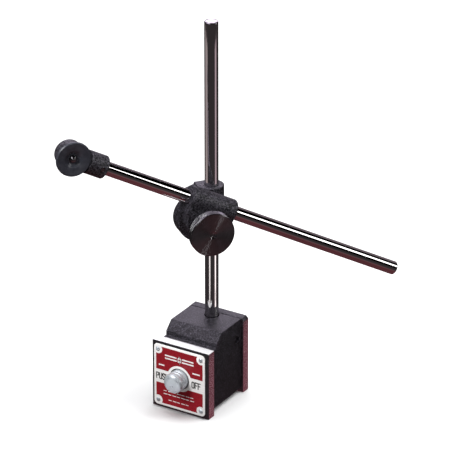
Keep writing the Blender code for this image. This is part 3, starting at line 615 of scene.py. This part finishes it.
def stroke_mesh(name, strokes, width, origin=(0.0, 0.0), size=(1.0, 1.0)):
    """Flat raised strokes as short overlapping bars joined end to end."""
    depth = 0.0001
    bm = bmesh.new()
    for stroke in strokes:
        points = [Vector((origin[0] + x * size[0], origin[1] + y * size[1])) for x, y in stroke]
        for first, second in zip(points, points[1:]):
            along = (second - first).normalized() * (width / 2)
            across = Vector((-along.y, along.x))
            a, b = first - along, second + along
            corners = (a - across, b - across, b + across, a + across)
            low = [bm.verts.new((c.x, c.y, 0.0)) for c in corners]
            high = [bm.verts.new((c.x, c.y, depth)) for c in corners]
            bm.faces.new(reversed(low))
            bm.faces.new(high)
            for step in range(4):
                after = (step + 1) % 4
                bm.faces.new((low[step], low[after], high[after], high[step]))
    return mesh_from(bm, name)


def rounded_outline(width, height, corner, steps=8):
    points = []
    for quarter in range(4):
        across = 1 if quarter in (0, 3) else -1
        rise = 1 if quarter in (0, 1) else -1
        for step in range(steps + 1):
            angle = math.radians(90.0 * (quarter + step / steps))
            points.append((across * (width / 2 - corner) + corner * math.cos(angle),
                           rise * (height / 2 - corner) + corner * math.sin(angle)))
    return points


WORD_Z = -0.0032
LETTER_SIZE = (0.0027, 0.0044)


def build_label(tag, node, outward, words):
    """Label plate with raised enamel fields, a ring round the button and four drive screws."""
    low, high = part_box(node)
    thickness = high.y - low.y
    face_y = low.y if outward < 0 else high.y
    turn = Z_TO_MINUS_Y if outward < 0 else Z_TO_MINUS_Y @ Matrix.Rotation(math.pi, 4, "Y")
    place = Matrix.Translation(((low.x + high.x) / 2, face_y, (low.z + high.z) / 2)) @ turn
    ring_z = BUTTON_Z - (low.z + high.z) / 2
    outline = rounded_outline(high.x - low.x, high.z - low.z, 0.0028)
    plate = link(f"label_plate_{tag}", prism_mesh(f"label_plate_{tag}", outline, -thickness, 0.0),
                 SILVER, place)
    bevel(plate, 0.00015, 2)
    hole = drill("hole", BUTTON_HOLE + 0.0003, -0.01, 0.01,
                 place @ Matrix.Translation((0.0, ring_z, 0.0)))
    cut(plate, hole)
    shade(plate)
    finish_piece(plate, "base", "red_label", node)

    for part, top in (("upper", True), ("lower", False)):
        name = f"label_{part}_{tag}"
        field = link(name, prism_mesh(name, label_field(top), -0.0001, 0.00006), RED, place)
        bevel(field, 0.00003, 1)
        bake_down(field)
        finish_piece(shade(field), "base", "red_label")

    sunk = place @ Matrix.Translation((0.0, 0.0, -0.00004))
    for index, (word, start) in enumerate(words):
        name = f"label_word_{tag}_{index}"
        mesh = stroke_mesh(name, letter_strokes(word), 0.00075, (start, WORD_Z), LETTER_SIZE)
        text = link(name, mesh, INK, sunk)
        finish_piece(text, "base", "red_label")

    # Plain ornament in the fields: a lozenge between two bars above, broken rules below.
    bars = [[(-0.0110, 0.0160), (-0.0026, 0.0160)], [(0.0026, 0.0160), (0.0110, 0.0160)],
            [(-0.0110, 0.0138), (-0.0026, 0.0138)], [(0.0026, 0.0138), (0.0110, 0.0138)],
            [(0.0, 0.0170), (0.0014, 0.0149), (0.0, 0.0128), (-0.0014, 0.0149), (0.0, 0.0170)],
            [(-0.0160, 0.0078), (-0.0125, 0.0078)], [(0.0110, 0.0078), (0.0160, 0.0078)]]
    raised = link(f"label_bars_{tag}", stroke_mesh(f"label_bars_{tag}", bars, 0.0010), SILVER,
                  place)
    finish_piece(raised, "base", "red_label")
    rules = []
    for row, (z, reach) in enumerate(((-0.0114, 0.0125), (-0.0138, 0.0125), (-0.0180, 0.0085))):
        count = 7 if reach > 0.01 else 5
        for index in range(count):
            start = -reach + 2 * reach * index / count
            length = 2 * reach / count * (0.72 if (index + row) % 2 else 0.55)
            rules.append([(start, z), (start + length, z)])
    raised = link(f"label_rules_{tag}", stroke_mesh(f"label_rules_{tag}", rules, 0.00050), SILVER,
                  place)
    finish_piece(raised, "base", "red_label")

    for index in range(1, 5):
        screw_node = f"{node}_screw_{index}"
        spot = middle(screw_node)
        seat = place.copy()
        seat.translation = Vector((spot.x, face_y, spot.z))
        head = turned(f"drive_screw_{tag}_{index}",
                      [(0.0, 0.00085, 0), (0.0009, 0.00075, 0.0004), (0.0015, 0.0003, 0.0003),
                       (0.0016, 0.00002, 0), (0.0008, 0.00002, 0), (0.0008, -0.0030, 0),
                       (0.0, -0.0030, 0)], ZINC, seat, 40)
        slot = block("slot", (-0.0003, -0.002, 0.0004), (0.0003, 0.002, 0.002),
                     seat @ Matrix.Rotation(math.radians(25.0 + 47.0 * index), 4, "Z"))
        cut(head, slot)
        shade(head)
        finish_piece(head, "base", "zinc_plate", screw_node)


def build_button(name, node, direction):
    """Domed button with two grooves behind its head."""
    origin = Vector((BASE_MIDDLE.x, BASE_MIDDLE.y, BUTTON_Z))
    outward = Vector((0.0, -1.0, 0.0)) if direction is Z_TO_MINUS_Y else Vector((0.0, 1.0, 0.0))
    inner, tip = span(node, origin, outward)
    wide = (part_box(node)[1].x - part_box(node)[0].x) / 2
    edge = tip - 0.0024
    corners = []
    for step in range(9):
        angle = math.radians(90.0 * step / 8)
        corners.append((wide * 0.96 * math.sin(angle), edge + (tip - edge) * math.cos(angle), 0))
    corners += [(wide, edge - 0.0006, 0.0003), (wide, edge - 0.0026, 0.0003),
                (wide - 0.0007, edge - 0.0029, 0.0002), (wide - 0.0007, edge - 0.0036, 0.0002),
                (wide - 0.0001, edge - 0.0039, 0.0003), (wide - 0.0001, edge - 0.0052, 0.0003),
                (wide - 0.0007, edge - 0.0055, 0.0002), (wide - 0.0007, edge - 0.0062, 0.0002),
                (wide - 0.0001, edge - 0.0065, 0.0003), (wide - 0.0001, inner, 0.0004),
                (0.0, inner, 0)]
    button = turned(name, corners, ZINC, Matrix.Translation(origin) @ direction)
    finish_piece(button, "push_unit", "zinc_plate", node)


def build_base():
    build_plates()
    build_housing()
    build_label("front", "front_label", -1, [("PUSH", -0.0184), ("OFF", 0.0101)])
    build_label("rear", "rear_label", 1, [("PUSH", -0.0184), ("ON", 0.0112)])
    build_button("button_off", "off_button", Z_TO_MINUS_Y)
    build_button("button_on", "on_button", Z_TO_Y)


# ---------------------------------------------------------------- bars
def build_bars():
    chamfer = 0.0007
    foot = HOUSE_HIGH.z - 0.004
    spigot = 0.0040
    post = turned("post_bar", [(0.0, POST_HIGH.z, 0), (BAR_RADIUS - 0.0017, POST_HIGH.z, 0.0004),
                               (BAR_RADIUS - 0.0003, POST_HIGH.z - 0.00037, 0.0002),
                               (BAR_RADIUS, POST_HIGH.z - chamfer, 0.0001),
                               (BAR_RADIUS, foot, 0), (spigot, foot, 0),
                               (spigot, POST_LOW.z, 0.0003), (0.0, POST_LOW.z, 0)],
                  POLISHED, Matrix.Translation(POST_AXIS), 128)
    finish_piece(post, "post", "polished_steel", "post")
    near, far = span("cross_rod", ROD_POINT, ALONG)
    rod = turned("cross_bar", [(0.0, far, 0), (BAR_RADIUS - chamfer, far, 0.0002),
                               (BAR_RADIUS, far - chamfer, 0.0002),
                               (BAR_RADIUS, near + chamfer, 0.0002),
                               (BAR_RADIUS - chamfer, near, 0.0002), (0.0, near, 0)],
                 POLISHED, ROD_FRAME, 128)
    finish_piece(rod, "cross_rod", "polished_steel", "cross_rod")


# ---------------------------------------------------------------- swivel clamp
BORE_OFFSET = (ROD_POINT - STUD_POINT).dot(ABOVE)
MATING = ROD_PLANE / 2 - 0.00015
BARREL_RADIUS = 0.00858
BARREL_HALF = span("post_clamp_body", STUD_POINT, UP)[1] + 0.0002
FLANGE_RADIUS = 0.0155


def soften(obj, voxel, rounds):
    """Melt joined shapes into one casting, with rounded edges and filled corners."""
    remesh = obj.modifiers.new("melt", "REMESH")
    remesh.mode = "VOXEL"
    remesh.voxel_size = voxel
    relax = obj.modifiers.new("relax", "SMOOTH")
    relax.factor = 0.5
    relax.iterations = rounds


def build_casting(name, node, body, matrix, lift):
    """Clamp half: barrel round its bar, tapered web, boss round the stud and mating flange."""
    flip = matrix @ Matrix.Translation((BORE_OFFSET, 0.0, 0.0)) @ Z_TO_MINUS_Y
    casting = turned(name, [(0.0, BARREL_HALF, 0), (BARREL_RADIUS, BARREL_HALF, 0.0008),
                            (BARREL_RADIUS, -BARREL_HALF - lift, 0.0008),
                            (0.0, -BARREL_HALF - lift, 0)], CAST, flip)
    half = BARREL_RADIUS - 0.0004
    web = block("web", (0.0036, -BARREL_HALF + 0.0004, -half),
                (BORE_OFFSET - 0.0009, BARREL_HALF - 0.0002 + lift, half), matrix)
    taper_mesh = box_mesh("taper", (-0.0046, -BARREL_HALF + 0.0012, -half + 0.0003),
                          (0.0063, BARREL_HALF - 0.0005 + lift, half - 0.0002))
    for vert in taper_mesh.vertices:
        if vert.co.x < 0.0:
            vert.co.y *= 0.80 if vert.co.y > 0.0 else 0.75
    taper = link("taper", taper_mesh, None, matrix)
    flange_back = MATING - 0.0060
    boss_back = -0.0084
    boss = turned("boss", [(0.0, MATING, 0), (FLANGE_RADIUS, MATING, 0.0007),
                           (FLANGE_RADIUS, flange_back, 0.0009), (0.0108, flange_back, 0),
                           (0.0091, boss_back, 0.0012), (0.0, boss_back, 0)], None, matrix)
    for tool in (web, taper, boss):
        boolean(casting, tool, "UNION")
    soften(casting, 0.00028, 3)
    bake_down(casting, web, taper, boss)
    bore = drill("bore", BAR_RADIUS + 0.0002, -0.03, 0.03, flip, 96)
    stud_hole = drill("stud_hole", 0.0033, -0.02, 0.02, matrix)
    cut(casting, bore, stud_hole)
    shade(casting, 50.0)
    finish_piece(casting, body, "black_crackle", node)


def build_washer(name, node, body, place, radii, fillet, segments):
    low, high = span(node, place.translation, FORWARD)
    inside, outside = radii
    washer = turned(name, [(inside, high, 0), (outside, high, fillet), (outside, low, fillet),
                           (inside, low, 0)], ZINC, place, segments, ring=True)
    finish_piece(washer, body, "zinc_plate", node)


def build_clamp():
    build_casting("casting_post", "post_clamp_body", "post_clamp", STUD_FRAME, 0.0009)
    build_casting("casting_rod", "rod_clamp_body", "rod_clamp", PIVOT_FRAME, -0.0004)

    hub, face = span("clamp_knob", STUD_POINT, FORWARD)
    face -= 0.0004
    radius = span("clamp_knob", STUD_POINT, UP)[1] + 0.0003
    rim = face - 0.0063
    ribs = 84
    rib_depth = 0.00034

    def ribbed(at_radius, height, angle):
        if at_radius > radius - 0.0001 and rim + 0.0004 < height < face - 0.0005:
            return at_radius - rib_depth * (0.5 + 0.5 * math.cos(ribs * angle))
        return at_radius

    inner = radius - 0.0011
    knob = turned("knob_main",
                  [(0.0, face - 0.0009, 0), (0.0009, face - 0.0009, 0.0003),
                   (0.0013, face - 0.0004, 0.0003), (0.0021, face - 0.0004, 0.0003),
                   (0.0027, face, 0.0003), (inner, face, 0), (inner, rim, 0),
                   (0.0088, rim, 0.0006), (0.0075, rim - 0.0012, 0.0006), (0.0075, hub, 0.0003),
                   (0.0, hub, 0)], BLACKED, STUD_FRAME, 120, angle=38.0)
    ring = turned("knob_rim",
                  [(inner, face, 0), (radius - 0.0004, face, 0.0002),
                   (radius - 0.0001, face - 0.0004, 0.0001), (radius, face - 0.0007, 0),
                   (radius, rim + 0.0007, 0), (radius - 0.0002, rim + 0.0004, 0),
                   (radius - 0.0007, rim, 0.0003), (inner, rim, 0)],
                  BLACKED, STUD_FRAME, 6 * ribs, ribbed, ring=True, angle=38.0)
    finish_piece(ring, "clamp_knob", "blacked_steel")
    finish_piece(knob, "clamp_knob", "blacked_steel", "clamp_knob")
    build_washer("washer_main", "clamp_washer", "clamp_knob", STUD_FRAME, (0.0033, 0.0080), 0.0002,
                 96)

    back = span("clamp_stud", STUD_POINT, FORWARD)[0]
    head = back + 0.0036
    stud = turned("stud_main", [(0.0, hub + 0.001, 0), (0.0029, hub + 0.001, 0.0002),
                                (0.0029, head, 0), (0.0060, head, 0.0002),
                                (0.0060, back + 0.0006, 0.0003), (0.0054, back, 0.0003),
                                (0.0019, back, 0.0001), (0.0016, back + 0.0004, 0),
                                (0.0, back + 0.0004, 0)], BLACKED, STUD_FRAME)
    slot = block("slot", (-0.0006, -0.01, back - 0.001), (0.0006, 0.01, back + 0.0014),
                 STUD_FRAME @ Matrix.Rotation(math.radians(35.0), 4, "Z"))
    cut(stud, slot)
    shade(stud)
    finish_piece(stud, "post_clamp", "blacked_steel", "clamp_stud")


# ---------------------------------------------------------------- snug
def build_snug():
    length = span("snug_body", EYE_POINT, ALONG)[1]
    radius = 0.0080
    eye = -span("snug_body", EYE_POINT, ALONG)[0] + 0.0001
    body = turned("snug_sleeve", [(0.0, length, 0), (radius, length, 0.0006), (radius, 0.0, 0),
                                  (0.0, 0.0, 0)], CAST, SLEEVE_FRAME)
    wide = span("snug_knob", EYE_POINT, ALONG)[1]
    reach = wide + 0.0003
    front_cut = block("front_cut", (-0.02, 0.0017, -0.02), (0.02, 0.03, reach), SLEEVE_FRAME)
    rear_cut = block("rear_cut", (-0.02, -0.03, -0.02), (0.02, -0.0052, 0.0085), SLEEVE_FRAME)
    cut(body, front_cut, rear_cut)
    eye_front = 0.0019
    eye_back = -0.0057
    ring = turned("eye", [(0.0, eye_front, 0), (eye, eye_front, 0.0006), (eye, eye_back, 0.0006),
                          (0.0, eye_back, 0)], None, BOLT_FRAME)
    boolean(body, ring, "UNION")
    soften(body, 0.00026, 3)
    bake_down(body, ring)
    bore = drill("bore", BAR_RADIUS + 0.0002, 0.0124, 0.05, SLEEVE_FRAME, 96)
    bolt_hole = drill("bolt_hole", 0.0027, -0.02, 0.02, BOLT_FRAME)
    screw_at = (middle("snug_set_screw") - EYE_POINT).dot(ALONG)
    tapped = drill("tapped", 0.0018, 0.0, 0.03,
                   SLEEVE_FRAME @ Matrix.Translation((0.0, 0.0, screw_at)) @ Z_TO_Y, 32)
    cut(body, bore, bolt_hole, tapped)
    shade(body, 50.0)
    finish_piece(body, "snug", "black_crackle", "snug_body")

    back, face = span("snug_knob", EYE_POINT, FORWARD)
    knob = turned("knob_snug", [(0.0027, face - 0.0022, 0), (0.0036, face - 0.0024, 0.0003),
                                (0.0058, face - 0.0006, 0.0010), (wide - 0.0006, face, 0.0002),
                                (wide, face - 0.0006, 0.0002), (wide, face - 0.0018, 0.0002),
                                (wide - 0.0004, face - 0.0021, 0.0002),
                                (0.0080, face - 0.0023, 0.0004), (0.0074, back, 0.0003),
                                (0.0027, back, 0)],
                  SATIN, BOLT_FRAME, 128, ring=True)
    finish_piece(knob, "snug_knob", "blacked_steel", "snug_knob")
    build_washer("washer_snug", "snug_washer", "snug_knob", BOLT_FRAME, (0.0027, 0.0062), 0.0001,
                 72)

    end, tip = span("snug_bolt", EYE_POINT, FORWARD)
    neck = end + 0.0064
    bolt = turned("bolt_snug", [(0.0, tip, 0), (0.0013, tip - 0.0001, 0.0003),
                                (0.0021, tip - 0.0009, 0.0003), (0.0024, tip - 0.0022, 0.0003),
                                (0.0024, neck, 0), (0.0044, neck, 0.0002),
                                (0.0044, end + 0.0007, 0.0003), (0.0037, end, 0.0003),
                                (0.0, end, 0)], BLACKED, BOLT_FRAME)
    stem = drill("stem", 0.0021, -0.01, 0.01,
                 BOLT_FRAME @ Matrix.Translation((0.0, 0.0, (neck + end) / 2)) @ Z_TO_X)
    cut(bolt, stem)
    shade(bolt)
    finish_piece(bolt, "snug_swivel", "blacked_steel", "snug_bolt")


# ---------------------------------------------------------------- CAD nodes that stay
def paint_nodes():
    finishes = {"ground_steel": GROUND, "polished_steel": POLISHED, "black_crackle": CRACKLE,
                "blacked_steel": BLACKED, "zinc_plate": ZINC, "red_label": RED, "brass": BRASS,
                "magnet": MAGNET, "cover_plastic": COVER}
    slots = {part["node"]: part["material_slot"] for part in frame["record"]["subparts"]}
    for name, obj in NODES.items():
        obj.data.materials.clear()
        obj.data.materials.append(finishes[slots[name]])


paint_nodes()
build_base()
build_bars()
build_clamp()
build_snug()


# ---------------------------------------------------------------- camera
AZIMUTH = math.radians(31.57)
ELEVATION = math.radians(25.13)
DISTANCE = 2.1786
TARGET = BASE_MIDDLE + Vector((0.01424, 0.00875, 0.1309))
TO_CAMERA = Vector((math.sin(AZIMUTH) * math.cos(ELEVATION),
                    -math.cos(AZIMUTH) * math.cos(ELEVATION), math.sin(ELEVATION)))


def build_camera():
    data = bpy.data.cameras.new("camera")
    data.sensor_width = 36.0
    data.lens = 258.3
    data.clip_start = 0.05
    data.clip_end = 50.0
    camera = bpy.data.objects.new("camera", data)
    bpy.context.scene.collection.objects.link(camera)
    camera.location = TARGET + DISTANCE * TO_CAMERA
    camera.rotation_mode = "QUATERNION"
    camera.rotation_quaternion = (-TO_CAMERA).to_track_quat("-Z", "Y")
    bpy.context.scene.camera = camera


# ---------------------------------------------------------------- studio
def seen_by(obj, camera=True, diffuse=True, glossy=True, shadow=True):
    obj.visible_camera = camera
    obj.visible_diffuse = diffuse
    obj.visible_glossy = glossy
    obj.visible_shadow = shadow
    obj.visible_transmission = False


def build_floor():
    """Pale paper with a painted glow: its emission rises with distance from the middle, so it stays bright far
    behind the object.
    """
    floor = block("floor", (-6.0, -6.0, -0.02), (6.0, 6.0, 0.0))
    mat, tree, shader = new_material("floor_paper", (0.93, 0.93, 0.93), 0.9)
    set_inputs(shader, Specular_IOR_Level=0.0, Emission_Color=(1.0, 1.0, 1.0, 1.0))
    # Painted light: emission strength climbs from 0 at 0.45 m to 0.75 at 1.8 m from the floor's middle.
    tree.links.new(remap(tree, radius_from_z(tree), 0.0, 0.75, 0.45, 1.8),
                   shader.inputs["Emission Strength"])
    floor.data.materials.append(mat)
    seen_by(floor, diffuse=False, glossy=False)


def glow(name, colour, strength):
    mat = bpy.data.materials.new(name)
    mat.use_nodes = True
    tree = mat.node_tree
    tree.nodes.remove(tree.nodes["Principled BSDF"])
    emission = tree.nodes.new("ShaderNodeEmission")
    set_inputs(emission, Color=(*colour, 1.0), Strength=strength)
    clear = tree.nodes.new("ShaderNodeBsdfTransparent")
    both = tree.nodes.new("ShaderNodeAddShader")
    tree.links.new(emission.outputs["Emission"], both.inputs[0])
    tree.links.new(clear.outputs["BSDF"], both.inputs[1])
    tree.links.new(both.outputs["Shader"], tree.nodes["Material Output"].inputs["Surface"])
    return mat


def group(name, members, leave_out=False):
    """A collection of pieces that a light or card serves, or that it leaves out."""
    collection = bpy.data.collections.new(name)
    for member in members:
        collection.objects.link(bpy.data.objects[member])
    if leave_out:
        for entry in collection.collection_objects:
            entry.light_linking.link_state = "EXCLUDE"
    return collection


def floor_card(name, start, stop, near, far, colour, strength, only):
    """A flat card just under the paper, round the post, that only reflections see.

    Angles run from straight behind the object, as the camera sees it, towards image right."""
    behind = Vector((-TO_CAMERA.x, -TO_CAMERA.y, 0.0)).normalized()
    right = Vector((behind.y, -behind.x, 0.0))
    steps = 12

    def arc(radius):
        points = []
        for step in range(steps + 1):
            angle = math.radians(start + (stop - start) * step / steps)
            point = POST_AXIS + radius * (math.cos(angle) * behind + math.sin(angle) * right)
            points.append((point.x, point.y))
        return points

    outline = arc(far) + arc(near)[::-1]
    card = link(name, prism_mesh(name, outline, -0.0012, -0.0008), glow(name, colour, strength))
    seen_by(card, camera=False, diffuse=False, shadow=False)
    card.light_linking.receiver_collection = only


def mix_shaders(tree, factor, first, second):
    node = tree.nodes.new("ShaderNodeMixShader")
    tree.links.new(factor, node.inputs["Fac"])
    tree.links.new(first, node.inputs[1])
    tree.links.new(second, node.inputs[2])
    return node.outputs["Shader"]


def build_world():
    """White to the eye, soft grey to diffuse light, a dark room and soft boxes to reflections."""
    world = bpy.data.worlds.new("studio")
    bpy.context.scene.world = world
    world.use_nodes = True
    tree = world.node_tree
    tree.nodes.clear()
    output = tree.nodes.new("ShaderNodeOutputWorld")
    coords = tree.nodes.new("ShaderNodeTexCoord")
    split = tree.nodes.new("ShaderNodeSeparateXYZ")
    tree.links.new(coords.outputs["Generated"], split.inputs["Vector"])
    behind = Vector((-TO_CAMERA.x, -TO_CAMERA.y)).normalized()
    right = Vector((behind.y, -behind.x))
    x, y, z = (split.outputs[axis] for axis in ("X", "Y", "Z"))

    def dot(vector):
        return math_node(tree, "ADD", math_node(tree, "MULTIPLY", x, vector.x),
                         math_node(tree, "MULTIPLY", y, vector.y))

    azimuth = math_node(tree, "MULTIPLY", math_node(tree, "ARCTAN2", dot(right), dot(behind)),
                        180.0 / math.pi)
    elevation = math_node(tree, "MULTIPLY", math_node(tree, "ARCSINE", z), 180.0 / math.pi)

    def window(value, low, high, soft):
        rise = remap(tree, value, 0.0, 1.0, low - soft, low + soft)
        fall = remap(tree, value, 1.0, 0.0, high - soft, high + soft)
        return math_node(tree, "MULTIPLY", rise, fall)

    def patch(az, el, soft, colour):
        shape = math_node(tree, "MULTIPLY", window(azimuth, *az, soft),
                          window(elevation, *el, soft))
        mix = tree.nodes.new("ShaderNodeVectorMath")
        mix.operation = "SCALE"
        mix.inputs[0].default_value = colour
        tree.links.new(shape, mix.inputs["Scale"])
        return mix.outputs["Vector"]

    patches = [
        patch((-400.0, 400.0), (-36.0, -4.0), 5.0, (0.040, 0.034, 0.036)),    # dark room, low
        patch((-400.0, 400.0), (-120.0, -38.0), 5.0, (0.115, 0.036, 0.043)),  # maroon ground
        patch((132.0, 164.0), (-44.0, -27.5), 3.0, (0.072, 0.044, 0.046)),
        patch((-16.0, 16.0), (13.0, 52.0), 4.0, (1.70, 1.52, 1.86)),          # back wall
        patch((2.0, 48.0), (-3.0, 30.0), 4.0, (0.20, 0.16, 0.18)),
        patch((-150.0, -40.0), (44.0, 76.0), 6.0, (1.15, 1.00, 1.24)),        # ceiling, left
        patch((86.0, 118.0), (16.8, 26.5), 1.2, (3.9, 3.85, 3.85)),           # strip light
    ]
    total = patches[0]
    for one in patches[1:]:
        add = tree.nodes.new("ShaderNodeVectorMath")
        add.operation = "ADD"
        tree.links.new(total, add.inputs[0])
        tree.links.new(one, add.inputs[1])
        total = add.outputs["Vector"]
    reflected = tree.nodes.new("ShaderNodeBackground")
    tree.links.new(total, reflected.inputs["Color"])
    soft = tree.nodes.new("ShaderNodeBackground")
    tree.links.new(ramp(tree, z, (0.11, 0.09, 0.09), (0.40, 0.40, 0.41), 0.0, 0.25),
                   soft.inputs["Color"])
    white = tree.nodes.new("ShaderNodeBackground")
    set_inputs(white, Color=(1.0, 1.0, 1.0, 1.0))
    rays = tree.nodes.new("ShaderNodeLightPath")
    unseen = mix_shaders(tree, rays.outputs["Is Glossy Ray"], soft.outputs["Background"],
                         reflected.outputs["Background"])
    surface = mix_shaders(tree, rays.outputs["Is Camera Ray"], unseen, white.outputs["Background"])
    tree.links.new(surface, output.inputs["Surface"])
    world.cycles.sampling_method = "NONE"


def area_light(name, place, aim, size, power, glossy=False):
    data = bpy.data.lights.new(name, "AREA")
    data.shape = "DISK"
    data.size = size
    data.energy = power
    light = bpy.data.objects.new(name, data)
    bpy.context.scene.collection.objects.link(light)
    light.location = place
    light.rotation_mode = "QUATERNION"
    light.rotation_quaternion = (Vector(aim) - Vector(place)).to_track_quat("-Z", "Y")
    light.visible_glossy = glossy
    light.visible_camera = False
    return light


def build_studio():
    build_floor()
    build_world()
    aim = (0.0, 0.0, 0.10)
    key_place = (-0.55, -1.25, 1.45)
    key = area_light("key", key_place, aim, 0.9, 44.0)
    fill = area_light("fill", (1.3, -0.9, 1.2), aim, 1.0, 8.0)
    area_light("top", (-0.1, 0.2, 1.7), aim, 1.4, 29.0)
    for lamp in (key, fill):
        lamp.light_linking.receiver_collection = group(f"not_from_{lamp.name}", ["floor"], True)
    floor_lamp = area_light("floor_lamp", (1.0, 0.5, 1.5), aim, 0.9, 15.0)
    floor_lamp.light_linking.receiver_collection = group("floor_only", ["floor"])
    bright = ["button_off", "button_on", "knob_snug", "bolt_snug", "knob_rim", "washer_main"]
    bright += [f"drive_screw_{tag}_{index}" for tag in ("front", "rear") for index in range(1, 5)]
    spark = area_light("spark", key_place, aim, 0.9, 44.0, glossy=True)
    spark.visible_diffuse = False
    spark.light_linking.receiver_collection = group("bright_parts", bright)

    post_only = group("post_only", ["post_bar"])
    plates_only = group("plates_only", ["pole_plate_front", "pole_plate_rear"])
    buttons_only = group("buttons_only", ["button_off", "button_on"])
    floor_card("card_left", -158.0, -137.0, 0.118, 0.28, (1.0, 0.93, 0.92), 0.75, post_only)
    floor_card("card_right", 106.0, 128.0, 0.118, 0.28, (1.0, 0.88, 0.88), 0.90, post_only)
    floor_card("card_far_left", -118.0, -68.0, 0.32, 0.80, (0.17, 0.14, 0.14), 1.0, post_only)
    floor_card("card_far_right", 92.0, 122.0, 0.32, 0.80, (0.23, 0.17, 0.19), 1.0, post_only)
    floor_card("card_ground", -179.0, 179.0, 0.001, 0.170, (0.105, 0.034, 0.045), 1.0, plates_only)
    floor_card("card_button", -178.0, -112.0, 0.030, 0.60, (0.42, 0.42, 0.44), 1.0, buttons_only)
    bpy.context.scene.view_settings.view_transform = "Standard"
    bpy.context.scene.view_settings.look = "None"


build_camera()
build_studio()
